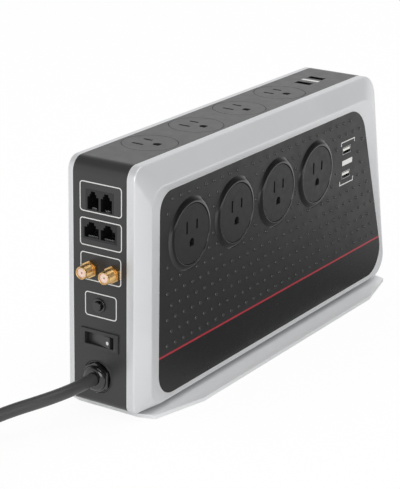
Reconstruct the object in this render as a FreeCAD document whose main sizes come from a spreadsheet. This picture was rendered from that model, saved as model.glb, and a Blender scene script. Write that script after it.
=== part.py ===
import FreeCAD, Part
import Sketcher
import math
import os
import re
from FreeCAD import Placement, Rotation, Vector

# Desk-standing surge protector: a black tube-shaped casing between a silver
# front frame and a silver rear cover, four outlets and two USB ports in the
# front, the same again along the top, and data, coaxial, breaker and switch
# fittings with the power cord on the left end.
# Frame: +X along the length (fittings at -X), front towards -Y, +Z up,
# origin under the middle of the object on the surface it stands on.

doc = FreeCAD.newDocument("surge_protector")
sheet = doc.addObject("Spreadsheet::Sheet", "Sizes")
aliases = []
nodes = []


def size(alias, value, note=""):
    """One line of the size table: a number, or a formula made of other sizes."""
    line = len(aliases) + 1
    text = str(value)
    sheet.set(f"A{line}", alias)
    sheet.set(f"B{line}", "=" + text if isinstance(value, str) else text)
    sheet.set(f"C{line}", note)
    sheet.setAlias(f"B{line}", alias)
    aliases.append(alias)


# Casing outline, seen from the front; the right side leans outwards.
size("case_bottom", 369.0, "length of the outline along its underside")
size("case_top", 340.0, "length of the outline along its top")
size("case_height", 178.4)
size("case_depth", 44.7)
size("wall", 2.5)
size("round_low_left", 5.0)
size("round_low_right", 12.0)
size("round_high_right", 22.0)
size("round_high_left", 10.0)
size("lean", "(case_bottom - case_top) / case_height")
size("half_depth", "case_depth / 2")
# Front frame: a flush lip, a bevel up to a crest, then a shallow fall to the panel.
size("lip", 6.2)
size("crest", 13.2, "crest in front of the casing edge")
size("crest_left", 11.5)
size("crest_top", 16.0)
size("crest_right", 5.6, "at the underside")
size("crest_lean", 0.22)
size("crest_bottom", 2.6)
size("crest_round_low_left", 14.0)
size("crest_round_low_right", 16.0)
size("crest_round_high_right", 24.0)
size("crest_round_high_left", 14.0)
size("panel_set", 12.1, "panel surface in front of the casing edge")
size("panel_round_low_left", 18.0)
size("panel_round_low_right", 20.0)
size("panel_round_high_right", 28.0)
size("panel_round_high_left", 14.0)
size("panel_left", 22.3)
size("panel_top", 22.0)
size("panel_right", 5.4, "at the underside")
size("panel_lean", 0.333)
size("panel_bottom", 5.4)
size("panel_thick", 2.5)
size("panel_gap", 0.15)
size("ledge", 3.0, "panel seat inside the opening")
size("line_level", 36.0, "middle of the accent line above the casing underside")
size("line_width", 1.5)
# Rear cover.
size("rear_lip", 4.0)
size("rear_swell", 5.0)
size("rear_inset", 9.0)
size("cover_wall", 2.4)
size("post_radius", 4.0)
size("post_inset", 9.0)
size("post_left", 27.0)
size("pilot_radius", 1.25)
size("screw_radius", 1.2)
size("screw_head", 3.4)
size("screw_length", 16.0)
# Stand.
size("foot_length", 352.0)
size("foot_depth", 97.0)
size("foot_thick", 2.8)
size("foot_taper_x", 50.0)
size("foot_taper_y", 11.0)
size("foot_end_x", 4.0)
size("foot_end_y", 12.0)
size("foot_shift", 1.5, "middle of the plate against the middle of the underside")
size("riser_height", 3.0)
size("riser_length", 300.0)
size("riser_depth", 36.0)
size("pad_radius", 7.0)
size("pad_thick", 1.6)
size("pad_stand", 0.8, "pad below the plate")
size("base", "pad_stand + foot_thick + riser_height", "casing underside above the desk")
# Outlets, North American 15 A pattern: blades 12.7 apart, ground 11.9 below them.
size("outlet_first", 59.7, "first outlet from the left end")
size("outlet_pitch", 59.3)
size("outlet_level", 118.5, "front outlet middle above the casing underside")
size("blade_half", 6.35)
size("blade_rise", 5.9)
size("ground_drop", 6.0)
size("slot_width", 2.2)
size("neutral_tall", 9.2)
size("hot_tall", 7.4)
size("ground_radius", 2.9)
size("face_front", 21.8, "radius of a front outlet face")
size("face_top", 19.9, "radius of a top outlet face")
size("face_gap", 0.4)
size("collar_base", 27.0)
size("collar_stand", 1.8, "collar in front of the panel")
size("collar_spigot", 24.4)
size("spigot_gap", 0.3)
size("outlet_depth", 26.0)
size("flange", 2.0)
size("core_radius", 19.0)
size("face_web", 6.0, "solid face in front of the contact pockets")
size("pocket_wide", 6.8)
size("pocket_tall", 10.2)
size("pocket_ground", 4.6)
size("clip_wide", 6.0)
size("clip_tall", 8.6)
size("clip_slot", 1.3)
size("bus_thick", 1.2)
size("bus_tall", 3.2)
# USB sockets.
size("usb_wide", 13.4)
size("usb_tall", 6.0)
size("usb_deep", 14.0)
size("usb_skin", 0.4)
size("usb_gap", 0.3)
size("usb_pitch", 20.2)
size("usb_sink", 0.2, "shell mouth below the surface round it")
size("card_half", 12.0)
size("card_margin", 8.0, "card past the middles of its sockets")
size("usb_front_x", 288.2)
size("usb_front_level", 116.1)
size("usb_top_x", 285.6)
size("tongue_wide", 11.2)
size("tongue_thick", 1.9)
size("tongue_deep", 9.0)
size("board_thick", 1.6)
# Left end fittings: y is measured from the middle of the depth, rear positive.
size("jack_gap", 0.15)
size("phone_level", 150.2)
size("phone_pitch", 11.1)
size("phone_wide", 9.4)
size("phone_tall", 9.2)
size("network_level", 129.0)
size("network_pitch", 13.8)
size("network_wide", 12.2)
size("network_tall", 7.4)
size("jack_rim", 1.3)
size("jack_deep", 17.0)
size("jack_bore", 13.0)
size("notch_step", 1.9)
size("pin_width", 0.5)
size("pin_pitch", 1.02)
size("coax_level", 101.3)
size("coax_spread", 18.8)
size("coax_middle", -2.4)
size("coax_radius", 4.76)
size("coax_reach", 12.5)
size("coax_neck", 4.4, "barrel through the nut and the casing")
size("coax_inside", 12.0)
size("coax_bore", 3.4)
size("coax_flats", 11.1)
size("coax_nut", 3.2)
size("reset_level", 75.4)
size("reset_y", 0.6)
size("bushing_radius", 5.2)
size("bushing_stand", 1.2)
size("bushing_neck", 4.4)
size("button_radius", 3.3)
size("button_gap", 0.1)
size("button_stand", 3.4)
size("button_travel", 2.0)
size("breaker_wide", 14.0)
size("breaker_tall", 22.0)
size("breaker_deep", 26.0)
size("switch_level", 49.9)
size("switch_y", 0.1)
size("bezel_side", 3.65, "bezel past the ends of the well")
size("bezel_edge", 2.55, "bezel above and below the well")
size("bezel_stand", 1.2)
size("well_deep", 10.0)
size("switch_wall", 1.4)
size("pivot_in", 6.0, "rocker pivot behind the casing side")
size("rocker_half", 10.8)
size("rocker_tall", 8.2)
size("rocker_face", 5.6, "face in front of the pivot")
size("rocker_play", 1.4, "room past each end of the rocker")
size("rocker_side_gap", 0.3)
size("well_wide", "2 * (rocker_half + rocker_play)")
size("well_tall", "rocker_tall + 2 * rocker_side_gap")
size("bezel_wide", "well_wide + 2 * bezel_side")
size("bezel_tall", "well_tall + 2 * bezel_edge")
size("rocker_tilt", 12.0)
size("pivot_radius", 1.4)
size("pivot_gap", 0.05)
size("switch_base_deep", 10.0)
size("gland_level", 21.8)
size("gland_y", 2.1)
size("cup_radius", 12.0)
size("cup_wall", 1.5)
size("cup_deep", 8.0)
size("cup_floor", 2.0)
size("gland_thread", 7.5)
size("gland_flats", 17.6)
size("gland_flange", 3.0)
size("nut_long", 8.5)
size("gland_inside", 12.0)
size("locknut_thick", 4.0)
# Power cord and its plug.
size("cord_radius", 4.6)
size("cord_play", 0.3)
size("coil_radius", 50.0, "middle of the coil's turns")
size("coil_turns", 5)
size("coil_pitch", 9.4)
size("coil_lead", 32.0, "straight lead before the first turn")
size("coil_leave", 81.0, "degrees past the last whole turn at which the cord leaves")
size("plug_long", 34.0)
size("plug_wide", 26.0)
size("plug_thick", 20.0)
size("plug_tail", 14.0)
size("blade_long", 17.0)
size("blade_tall", 6.3)
size("blade_thick", 1.5)
size("pin_radius", 2.4)
# Inside.
size("card_left", 48.0)
size("card_right", 322.0)
size("card_low", 14.0)
size("card_high", 88.0)
size("card_y", 11.0)
size("card_post", 3.5)
size("varistor_radius", 8.5)
size("varistor_thick", 5.2)
size("varistor_pitch", 21.0)
size("choke_radius", 13.0)
size("choke_section", 5.0)
size("capacitor_wide", 26.0)
size("capacitor_tall", 18.0)
size("capacitor_deep", 12.0)
# The left end lies where the whole bounding box is centred on the origin.
size(
    "reach_right",
    "case_bottom - round_low_right * (lean + sqrt(1 + lean * lean) - 1)",
)
size("left", "-(reach_right - coax_reach) / 2")
doc.recompute()


def value(alias):
    """Present number of a size."""
    return float(sheet.get(alias))


def bound(text):
    """Formula text with every size alias pointed at the table."""
    return re.sub(r"[A-Za-z_]\w*", lambda m: link(m.group(0)), str(text))


def link(word):
    """A size alias as a table reference, any other word unchanged."""
    return f"Sizes.{word}" if word in aliases else word


def put(obj, x="0", y="0", z="0", turn=None):
    """Place an object by three formulas and an optional fixed turn."""
    obj.Placement = Placement(Vector(0, 0, 0), turn or Rotation())
    for axis, formula in zip("xyz", (x, y, z)):
        obj.setExpression(f"Placement.Base.{axis}", bound(formula))
    return obj


ALONG_X = Rotation(Vector(0, 1, 0), 90)
ALONG_Y = Rotation(Vector(1, 0, 0), -90)
FACE_UP = Rotation(Vector(1, 0, 0), -90)


def box(name, dx, dy, dz, x="0", y="0", z="0"):
    """A block given by its three sides and its lowest corner."""
    obj = doc.addObject("Part::Box", name)
    for prop, formula in (("Length", dx), ("Width", dy), ("Height", dz)):
        obj.setExpression(prop, bound(formula))
    return put(obj, x, y, z)


def block(name, dx, dy, dz, x="0", y="0", z="0"):
    """A block given by its sides and the middle of its lowest X face or plane."""
    return box(name, dx, dy, dz, x, f"({y}) - ({dy}) / 2", f"({z}) - ({dz}) / 2")


def rod(name, radius, length, x="0", y="0", z="0", turn=None):
    """A cylinder from its base point along +Z, or along the turned axis."""
    obj = doc.addObject("Part::Cylinder", name)
    obj.setExpression("Radius", bound(radius))
    obj.setExpression("Height", bound(length))
    return put(obj, x, y, z, turn)


def cone(name, radius_a, radius_b, length, x="0", y="0", z="0", turn=None):
    """A cone frustum from its base point."""
    obj = doc.addObject("Part::Cone", name)
    obj.setExpression("Radius1", bound(radius_a))
    obj.setExpression("Radius2", bound(radius_b))
    obj.setExpression("Height", bound(length))
    return put(obj, x, y, z, turn)


def hexagon(name, flats, length, x="0", y="0", z="0", turn=None):
    """A hexagonal prism given by its size across flats."""
    obj = doc.addObject("Part::Prism", name)
    obj.Polygon = 6
    obj.setExpression("Circumradius", bound(f"({flats}) / sqrt(3)"))
    obj.setExpression("Height", bound(length))
    return put(obj, x, y, z, turn)


def fuse(name, *parts):
    """Union of objects."""
    obj = doc.addObject("Part::MultiFuse", name)
    obj.Shapes = list(parts)
    return obj


def group(name, *parts):
    """Separate solids kept together in one object."""
    obj = doc.addObject("Part::Compound", name)
    obj.Links = list(parts)
    return obj


def cut(name, whole, *tools):
    """An object with others taken out of it."""
    obj = doc.addObject("Part::Cut", name)
    obj.Base = whole
    obj.Tool = tools[0] if len(tools) == 1 else group(name + "_tools", *tools)
    return obj


def common(name, one, other):
    """What two objects share."""
    obj = doc.addObject("Part::Common", name)
    obj.Base = one
    obj.Tool = other
    return obj


def shaped(name, shape):
    """A shape drawn by Part functions from the size table."""
    obj = doc.addObject("Part::Feature", name)
    obj.Shape = shape
    return obj


def node(obj, label, x="0", y="0", z="0", turn=None):
    """Register a sub-part under its label, placed from the casing's left underside."""
    put(obj, f"left + {x}", y, f"base + {z}", turn)
    obj.Label = label
    nodes.append(obj)
    return obj


# --- outlines -------------------------------------------------------------


def outline(y, left, bottom, top, right, lean, radii):
    """Closed four-sided wire at depth y with one leaning side and rounded corners.

    left, bottom and top are coordinates; right is the side's place at zero
    height and lean its shift to the left per unit of height; radii run
    anticlockwise from the bottom left corner.
    """
    corners = [
        Vector(left, y, bottom),
        Vector(right - lean * bottom, y, bottom),
        Vector(right - lean * top, y, top),
        Vector(left, y, top),
    ]
    edges = []
    ends = []
    for i, corner in enumerate(corners):
        back = (corners[i - 1] - corner).normalize()
        ahead = (corners[(i + 1) % 4] - corner).normalize()
        half = back.getAngle(ahead) / 2
        reach = radii[i] / math.tan(half)
        start = corner + back * reach
        stop = corner + ahead * reach
        inward = (back + ahead).normalize()
        middle = corner + inward * (radii[i] / math.sin(half) - radii[i])
        ends.append((start, middle, stop))
    for i, (start, middle, stop) in enumerate(ends):
        edges.append(Part.Arc(start, middle, stop).toShape())
        edges.append(Part.LineSegment(stop, ends[(i + 1) % 4][0]).toShape())
    return Part.Wire(edges)


CORNERS = ("low_left", "low_right", "high_right", "high_left")


def corner_radii(kind, inset):
    """Radii of an outline's four corners once it is moved inwards."""
    return [max(value(f"{kind}_{corner}") - inset, 0.6) for corner in CORNERS]


def case_outline(y, inset=0.0):
    """Casing outline at depth y, moved inwards by an equal inset all round."""
    lean = value("lean")
    return outline(
        y,
        inset,
        inset,
        value("case_height") - inset,
        value("case_bottom") - inset * math.sqrt(1 + lean * lean),
        lean,
        corner_radii("round", inset),
    )


def crest_outline(y, inset=0.0):
    """Crest line of the front frame."""
    return outline(
        y,
        value("crest_left") + inset,
        value("crest_bottom") + inset,
        value("case_height") - value("crest_top") - inset,
        value("case_bottom") - value("crest_right") - inset,
        value("crest_lean"),
        corner_radii("crest_round", inset),
    )


def panel_outline(y, inset=0.0):
    """Outline of the front panel's opening."""
    lean = value("panel_lean")
    return outline(
        y,
        value("panel_left") + inset,
        value("panel_bottom") + inset,
        value("case_height") - value("panel_top") - inset,
        value("case_bottom") - value("panel_right") - inset * math.sqrt(1 + lean * lean),
        lean,
        corner_radii("panel_round", inset),
    )


def prism(wire, length):
    """Wire filled and drawn out along +Y."""
    return Part.Face(wire).extrude(Vector(0, length, 0))


def skin(*wires):
    """Solid with straight lines between one outline and the next."""
    return Part.makeLoft(list(wires), True, True)


half = value("half_depth")
depth = value("case_depth")
wall = value("wall")

# --- casing tube ----------------------------------------------------------
tube = shaped(
    "tube_blank",
    prism(case_outline(-half), depth).cut(prism(case_outline(-half - 1, wall), depth + 2)),
)
OUTLETS = range(4)
outlet_x = [f"(outlet_first + {i} * outlet_pitch)" for i in OUTLETS]
POSTS = [
    ("post_left", "post_inset"),
    ("post_left", "case_height - post_inset - 4"),
    ("case_bottom - post_inset - 7", "post_inset"),
    ("case_top - post_inset - 7", "case_height - post_inset - 4"),
]
posts = fuse(
    "post_rods",
    *[
        rod(f"post_{i}", "post_radius", "case_depth - 8", x, "8 - half_depth", z, ALONG_Y)
        for i, (x, z) in enumerate(POSTS)
    ],
)
ribs = fuse(
    "post_ribs",
    *[
        box(
            f"rib_{i}",
            "1.6",
            "case_depth - 8",
            "post_inset" if low else "post_inset + 4",
            f"({x}) - 0.8",
            "8 - half_depth",
            "0.5" if low else f"({z}) - 0.5",
        )
        for i, (x, z) in enumerate(POSTS)
        for low in [i in (0, 2)]
    ],
)
tube_posts = fuse("tube_posts", tube, common("posts_in", fuse("post_all", posts, ribs), shaped("case_fill", prism(case_outline(-half, 1.0), depth))))
case_cuts = [
    rod(f"top_hole_{i}", "face_top + face_gap", "wall + 2", x, "0", "case_height - wall - 1")
    for i, x in enumerate(outlet_x)
]
case_cuts += [
    box(
        f"top_usb_hole_{i}",
        "usb_tall + 2 * usb_gap",
        "usb_wide + 2 * usb_gap",
        "wall + 2",
        f"usb_top_x + {side} * usb_pitch / 2 - usb_tall / 2 - usb_gap",
        "-usb_wide / 2 - usb_gap",
        "case_height - wall - 1",
    )
    for i, side in enumerate((-1, 1))
]
JACKS = [
    ("phone", "(phone_pitch + phone_wide + 2 * jack_rim)", "(phone_tall + 2 * notch_step + 2 * jack_rim)"),
    ("network", "(network_pitch + network_wide + 2 * jack_rim)", "(network_tall + 2 * notch_step + 2 * jack_rim)"),
]
case_cuts += [
    block(f"{kind}_hole", "wall + 2", f"{wide} + 2 * jack_gap", f"{tall} + 2 * jack_gap", "-1", "0", f"{kind}_level")
    for kind, wide, tall in JACKS
]
coax_y = [f"(coax_middle {sign} coax_spread / 2)" for sign in ("-", "+")]
case_cuts += [
    rod(f"coax_hole_{i}", "coax_radius + 0.3", "wall + 2", "-1", y, "coax_level", ALONG_X)
    for i, y in enumerate(coax_y)
]
case_cuts += [
    rod("reset_hole", "bushing_neck + 0.3", "wall + 2", "-1", "reset_y", "reset_level", ALONG_X),
    block(
        "switch_hole",
        "wall + 2",
        "well_wide + 2 * switch_wall + 0.4",
        "well_tall + 2 * switch_wall + 0.4",
        "-1",
        "switch_y",
        "switch_level",
    ),
    rod("gland_hole", "cup_radius + 0.2", "wall + 2", "-1", "gland_y", "gland_level", ALONG_X),
]
FOOT_SCREWS = [(sx, sy) for sx in (-1, 1) for sy in (-1, 1)]
foot_x = [f"(case_bottom / 2 + foot_shift + {sx} * (riser_length / 2 - 14))" for sx, sy in FOOT_SCREWS]
foot_y = [f"({sy} * (riser_depth / 2 - 8))" for sx, sy in FOOT_SCREWS]
case_cuts += [
    rod(f"foot_hole_{i}", "screw_radius + 0.3", "wall + 2", foot_x[i], foot_y[i], "-1")
    for i in range(4)
]
case_cuts += [
    rod(f"pilot_{i}", "pilot_radius", "20", x, "half_depth - 18", z, ALONG_Y)
    for i, (x, z) in enumerate(POSTS)
]
node(cut("case_cut", tube_posts, *case_cuts), "body_shell")

# --- front frame, panel, accent line and lower band -------------------------
lip = value("lip")
crest = value("crest")
seat = value("panel_set")
thick = value("panel_thick")
ledge = value("ledge")
frame_outside = prism(case_outline(-half - lip), lip).fuse(
    skin(case_outline(-half - lip), crest_outline(-half - crest))
)
dish = skin(crest_outline(-half - crest - 0.2, 0.5), panel_outline(-half - seat))
opening = prism(panel_outline(-half - seat - 0.01), thick + 0.01)
window = prism(panel_outline(-half - seat, ledge), seat + 1)
hollow = prism(case_outline(-half - 4.0, wall), 5.0).cut(
    prism(panel_outline(-half - 4.1, -1.5), 5.3)
)
frame_shape = frame_outside.cut(dish).cut(opening).cut(window).cut(hollow)
node(shaped("frame_shape", frame_shape), "front_frame")
panel_blank = shaped("panel_blank", prism(panel_outline(-half - seat, value("panel_gap")), thick))
line_low = "(line_level - line_width / 2)"
line_high = "(line_level + line_width / 2)"
panel_top_part = common(
    "panel_upper",
    panel_blank,
    box("above_line", "case_bottom", "60", "case_height", "0", "-60", line_high),
)
panel_cuts = [
    rod(f"collar_hole_{i}", "collar_spigot + spigot_gap", "40", x, "-60", "outlet_level", ALONG_Y)
    for i, x in enumerate(outlet_x)
]
panel_cuts += [
    block(
        f"front_usb_hole_{i}",
        "usb_wide + 2 * usb_gap",
        "60",
        "usb_tall + 2 * usb_gap",
        "usb_front_x - usb_wide / 2 - usb_gap",
        "-30",
        f"usb_front_level + {side} * usb_pitch / 2",
    )
    for i, side in enumerate((-1, 1))
]
node(cut("panel_cut", panel_top_part, *panel_cuts), "front_panel")
panel_copy = shaped("line_blank", panel_blank.Shape.copy())
band_copy = shaped("band_blank", panel_blank.Shape.copy())
node(
    common(
        "line_part",
        panel_copy,
        box("line_slab", "case_bottom", "60", "line_width", "0", "-60", line_low),
    ),
    "accent_line",
)
node(
    common(
        "band_part",
        band_copy,
        box("band_slab", "case_bottom", "60", line_low, "0", "-60", "0"),
    ),
    "lower_band",
)

# --- rear cover ------------------------------------------------------------
swell = value("rear_swell")
rear_lip = value("rear_lip")
skin_thick = value("cover_wall")
cover_out = prism(case_outline(half), rear_lip).fuse(
    skin(case_outline(half + rear_lip), case_outline(half + rear_lip + swell, value("rear_inset")))
)
cover_in = prism(case_outline(half - 1, wall), rear_lip + 1).fuse(
    skin(
        case_outline(half + rear_lip, wall),
        case_outline(half + rear_lip + swell - skin_thick, value("rear_inset")),
    )
)
cover_blank = shaped("cover_blank", cover_out.cut(cover_in))
card_post_x = ["card_left + 8", "card_right - 8"]
card_post_z = ["card_low + 8", "card_high - 8"]
card_back = "(card_y + board_thick)"
cover_reach = "(half_depth + rear_lip + rear_swell - cover_wall + 0.4)"
cover_posts = [
    rod(
        f"card_post_{i}{j}",
        "card_post",
        f"{cover_reach} - {card_back}",
        x,
        card_back,
        z,
        ALONG_Y,
    )
    for i, x in enumerate(card_post_x)
    for j, z in enumerate(card_post_z)
]
cover_posts += [
    rod(f"cover_boss_{i}", "post_radius", f"{cover_reach} - half_depth", x, "half_depth", z, ALONG_Y)
    for i, (x, z) in enumerate(POSTS)
]
cover_whole = fuse("cover_whole", cover_blank, *cover_posts)
cover_cuts = [
    rod(f"cover_bore_{i}", "screw_radius + 0.4", "20", x, "half_depth - 1", z, ALONG_Y)
    for i, (x, z) in enumerate(POSTS)
]
cover_cuts += [
    rod(f"cover_sink_{i}", "screw_head + 0.4", "20", x, "half_depth + 3", z, ALONG_Y)
    for i, (x, z) in enumerate(POSTS)
]
node(cut("cover_cut", cover_whole, *cover_cuts), "rear_cover")
rear_screws = [
    fuse(
        f"rear_screw_{i}",
        rod(f"rear_shank_{i}", "screw_radius", "screw_length", x, "half_depth + 3 - screw_length", z, ALONG_Y),
        rod(f"rear_head_{i}", "screw_head", "2.2", x, "half_depth + 3", z, ALONG_Y),
    )
    for i, (x, z) in enumerate(POSTS)
]
node(group("rear_screw_set", *rear_screws), "rear_screws")

# --- stand -----------------------------------------------------------------
foot_body = doc.addObject("PartDesign::Body", "foot_body")
plane = [f for f in foot_body.Origin.OriginFeatures if f.Role == "XY_Plane"][0]
foot_sketch = foot_body.newObject("Sketcher::SketchObject", "foot_outline")
foot_sketch.AttachmentSupport = [(plane, "")]
foot_sketch.MapMode = "FlatFace"
FOOT_CORNERS = [
    ("foot_length / 2 - foot_taper_x", "-foot_depth / 2"),
    ("foot_length / 2 - foot_end_x", "-foot_depth / 2 + foot_taper_y"),
    ("foot_length / 2", "-foot_depth / 2 + foot_taper_y + foot_end_y"),
    ("foot_length / 2", "foot_depth / 2 - foot_taper_y - foot_end_y"),
    ("foot_length / 2 - foot_end_x", "foot_depth / 2 - foot_taper_y"),
    ("foot_length / 2 - foot_taper_x", "foot_depth / 2"),
    ("foot_taper_x - foot_length / 2", "foot_depth / 2"),
    ("foot_end_x - foot_length / 2", "foot_depth / 2 - foot_taper_y"),
    ("-foot_length / 2", "foot_depth / 2 - foot_taper_y - foot_end_y"),
    ("-foot_length / 2", "-foot_depth / 2 + foot_taper_y + foot_end_y"),
    ("foot_end_x - foot_length / 2", "-foot_depth / 2 + foot_taper_y"),
    ("foot_taper_x - foot_length / 2", "-foot_depth / 2"),
]


def polygon_sketch(sketch, corners):
    """Closed polygon whose every corner is held by two formula-bound distances."""
    angles = [k * math.tau / len(corners) for k in range(len(corners))]
    start = [Vector(40 * math.cos(a), 30 * math.sin(a), 0) for a in angles]
    for k in range(len(corners)):
        ahead = (k + 1) % len(corners)
        sketch.addGeometry(Part.LineSegment(start[k], start[ahead]), False)
    for k in range(len(corners)):
        ahead = (k + 1) % len(corners)
        sketch.addConstraint(Sketcher.Constraint("Coincident", k, 2, ahead, 1))
    for k, (x, y) in enumerate(corners):
        for kind, formula in (("DistanceX", x), ("DistanceY", y)):
            number = sketch.addConstraint(Sketcher.Constraint(kind, -1, 1, k, 1, 1.0))
            sketch.setExpression(f"Constraints[{number}]", bound(formula))


polygon_sketch(foot_sketch, FOOT_CORNERS)
foot_pad = foot_body.newObject("PartDesign::Pad", "foot_plate")
foot_pad.Profile = foot_sketch
foot_pad.setExpression("Length", bound("foot_thick"))
doc.recompute()
foot_cuts = [
    rod(f"foot_bore_{i}", "screw_radius + 0.3", "foot_thick + 2", f"{foot_x[i]} - case_bottom / 2 - foot_shift", foot_y[i], "-1")
    for i in range(4)
]
foot_cuts += [
    rod(f"foot_sink_{i}", "screw_head + 0.3", "1.6 + 1", f"{foot_x[i]} - case_bottom / 2 - foot_shift", foot_y[i], "-1")
    for i in range(4)
]
PADS = [(sx, sy) for sx in (-1, 1) for sy in (-1, 1)]
pad_x = [f"({sx} * (foot_length / 2 - 30))" for sx, sy in PADS]
pad_y = [f"({sy} * (foot_depth / 2 - 20))" for sx, sy in PADS]
foot_cuts += [
    rod(f"pad_seat_{i}", "pad_radius + 0.3", "pad_thick - pad_stand + 1", pad_x[i], pad_y[i], "-1")
    for i in range(4)
]
node(
    cut("foot_cut", foot_body, *foot_cuts),
    "stand_foot",
    "case_bottom / 2 + foot_shift",
    "0",
    "0 - riser_height - foot_thick",
)
pads = [rod(f"pad_{i}", "pad_radius", "pad_thick", pad_x[i], pad_y[i], "0") for i in range(4)]
node(
    group("pad_set", *pads),
    "foot_pads",
    "case_bottom / 2 + foot_shift",
    "0",
    "0 - base",
)
riser = box("riser_block", "riser_length", "riser_depth", "riser_height", "-riser_length / 2", "-riser_depth / 2", "0")
riser_cuts = [
    rod(f"riser_bore_{i}", "screw_radius + 0.3", "riser_height + 2", f"{foot_x[i]} - case_bottom / 2 - foot_shift", foot_y[i], "-1")
    for i in range(4)
]
node(cut("riser_cut", riser, *riser_cuts), "foot_riser", "case_bottom / 2 + foot_shift", "0", "0 - riser_height")
foot_screws = [
    fuse(
        f"foot_screw_{i}",
        rod(f"foot_shank_{i}", "screw_radius", "base + wall + 1.6 - pad_stand - 1.2", foot_x[i], foot_y[i], "pad_stand + 1.2 - base"),
        rod(f"foot_head_{i}", "screw_head", "1.4", foot_x[i], foot_y[i], "pad_stand + 0.2 - base"),
        rod(f"foot_nut_{i}", "3.2", "2.2", foot_x[i], foot_y[i], "wall"),
    )
    for i in range(4)
]
node(group("foot_screw_set", *foot_screws), "foot_screws")

# --- outlets ----------------------------------------------------------------
# Built facing -Y with the ground hole down; the face surface lies at y = 0.


def outlet_body(tag, radius, first_step, flange_radius):
    """Round outlet: face disc, clamping flange and core with slots and pockets."""
    body = fuse(
        f"{tag}_solid",
        rod(f"{tag}_disc", radius, f"{first_step} + 0.2", "0", "0", "0", ALONG_Y),
        rod(f"{tag}_flange", flange_radius, "flange", "0", first_step, "0", ALONG_Y),
        rod(f"{tag}_core", "core_radius", f"outlet_depth - ({first_step})", "0", first_step, "0", ALONG_Y),
    )
    cuts = [
        block(f"{tag}_neutral", "slot_width", "2 * face_web + 2", "neutral_tall", "-blade_half - slot_width / 2", "0", "blade_rise"),
        block(f"{tag}_hot", "slot_width", "2 * face_web + 2", "hot_tall", "blade_half - slot_width / 2", "0", "blade_rise"),
        rod(f"{tag}_ground", "ground_radius", "face_web + 2", "0", "-1", "-ground_drop", ALONG_Y),
        block(f"{tag}_ground_flat", "2 * ground_radius", "2 * face_web + 2", "ground_radius", "-ground_radius", "0", "-ground_drop - ground_radius / 2"),
        rod(f"{tag}_ground_pocket", "pocket_ground", "outlet_depth", "0", "face_web", "-ground_drop", ALONG_Y),
    ]
    for side, name in ((-1, "left"), (1, "right")):
        cuts.append(
            box(
                f"{tag}_pocket_{name}",
                "pocket_wide",
                "outlet_depth",
                "pocket_tall",
                f"{side} * blade_half - pocket_wide / 2",
                "face_web",
                "blade_rise - pocket_tall / 2",
            )
        )
    return cut(f"{tag}_cut", body, *cuts)


front_face_y = "0 - half_depth - panel_set - collar_stand"
for i in OUTLETS:
    node(
        outlet_body(f"front_{i}", "face_front", "(collar_stand + panel_thick)", "(collar_spigot + 2)"),
        f"outlet_front_{i + 1}",
        outlet_x[i],
        front_face_y,
        "outlet_level",
    )
    node(
        outlet_body(f"top_{i}", "face_top", "wall", "(face_top + 1.6)"),
        f"outlet_top_{i + 1}",
        outlet_x[i],
        "0",
        "case_height",
        FACE_UP,
    )
    collar_solid = fuse(
        f"collar_solid_{i}",
        cone(f"collar_cone_{i}", "face_front + face_gap + 0.8", "collar_base", "collar_stand", "0", "0", "0", ALONG_Y),
        rod(f"collar_neck_{i}", "collar_spigot", "panel_thick + 0.2", "0", "collar_stand - 0.2", "0", ALONG_Y),
    )
    collar_bore = rod(f"collar_bore_{i}", "face_front + face_gap", "20", "0", "-5", "0", ALONG_Y)
    node(cut(f"collar_{i}", collar_solid, collar_bore), f"outlet_collar_{i + 1}", outlet_x[i], front_face_y, "outlet_level")


# --- contact strips -----------------------------------------------------------
# One brass strip per conductor behind each row, with a spring clip per outlet.
BUSES = [
    ("neutral", -1, "(blade_rise + 2.4)"),
    ("hot", 1, "(blade_rise - 2.4)"),
]


def blade_strip(tag, side, strip_z):
    """Strip with four slotted blade clips standing forward into the pockets."""
    parts = []
    slots = []
    for i in OUTLETS:
        clip_x = f"({i} * outlet_pitch + {side} * blade_half)"
        parts.append(
            box(f"{tag}_clip_{i}", "clip_wide", "outlet_depth - face_web - 1", "clip_tall", f"{clip_x} - clip_wide / 2", "face_web + 0.4", "blade_rise - clip_tall / 2")
        )
        parts.append(
            box(f"{tag}_leg_{i}", "clip_wide", "3", "bus_tall - 0.4", f"{clip_x} - clip_wide / 2", "outlet_depth - 1.5", f"{strip_z} - bus_tall / 2 + 0.2")
        )
        slots.append(
            box(f"{tag}_slit_{i}", "clip_slot", "outlet_depth - face_web - 4", "clip_tall + 2", f"{clip_x} - clip_slot / 2", "face_web", "blade_rise - clip_tall / 2 - 1")
        )
    parts.append(
        box(f"{tag}_bar", "3 * outlet_pitch + clip_wide", "bus_thick", "bus_tall", f"{side} * blade_half - clip_wide / 2", "outlet_depth + 1.2", f"{strip_z} - bus_tall / 2")
    )
    return cut(f"{tag}_strip", fuse(f"{tag}_whole", *parts), *slots)


def ground_strip(tag):
    """Strip with four split tubes for the ground pins."""
    parts = []
    bores = []
    for i in OUTLETS:
        parts.append(rod(f"{tag}_tube_{i}", "pocket_ground - 0.4", "outlet_depth - face_web + 0.9", f"{i} * outlet_pitch", "face_web + 0.4", "-ground_drop", ALONG_Y))
        bores.append(rod(f"{tag}_bore_{i}", "pin_radius + 0.1", "outlet_depth - face_web - 4", f"{i} * outlet_pitch", "face_web", "-ground_drop", ALONG_Y))
    parts.append(
        box(f"{tag}_bar", "3 * outlet_pitch + 8", "bus_thick", "bus_tall", "-4", "outlet_depth + 1.2", "-ground_drop - bus_tall / 2")
    )
    return cut(f"{tag}_strip", fuse(f"{tag}_whole", *parts), *bores)


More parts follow.
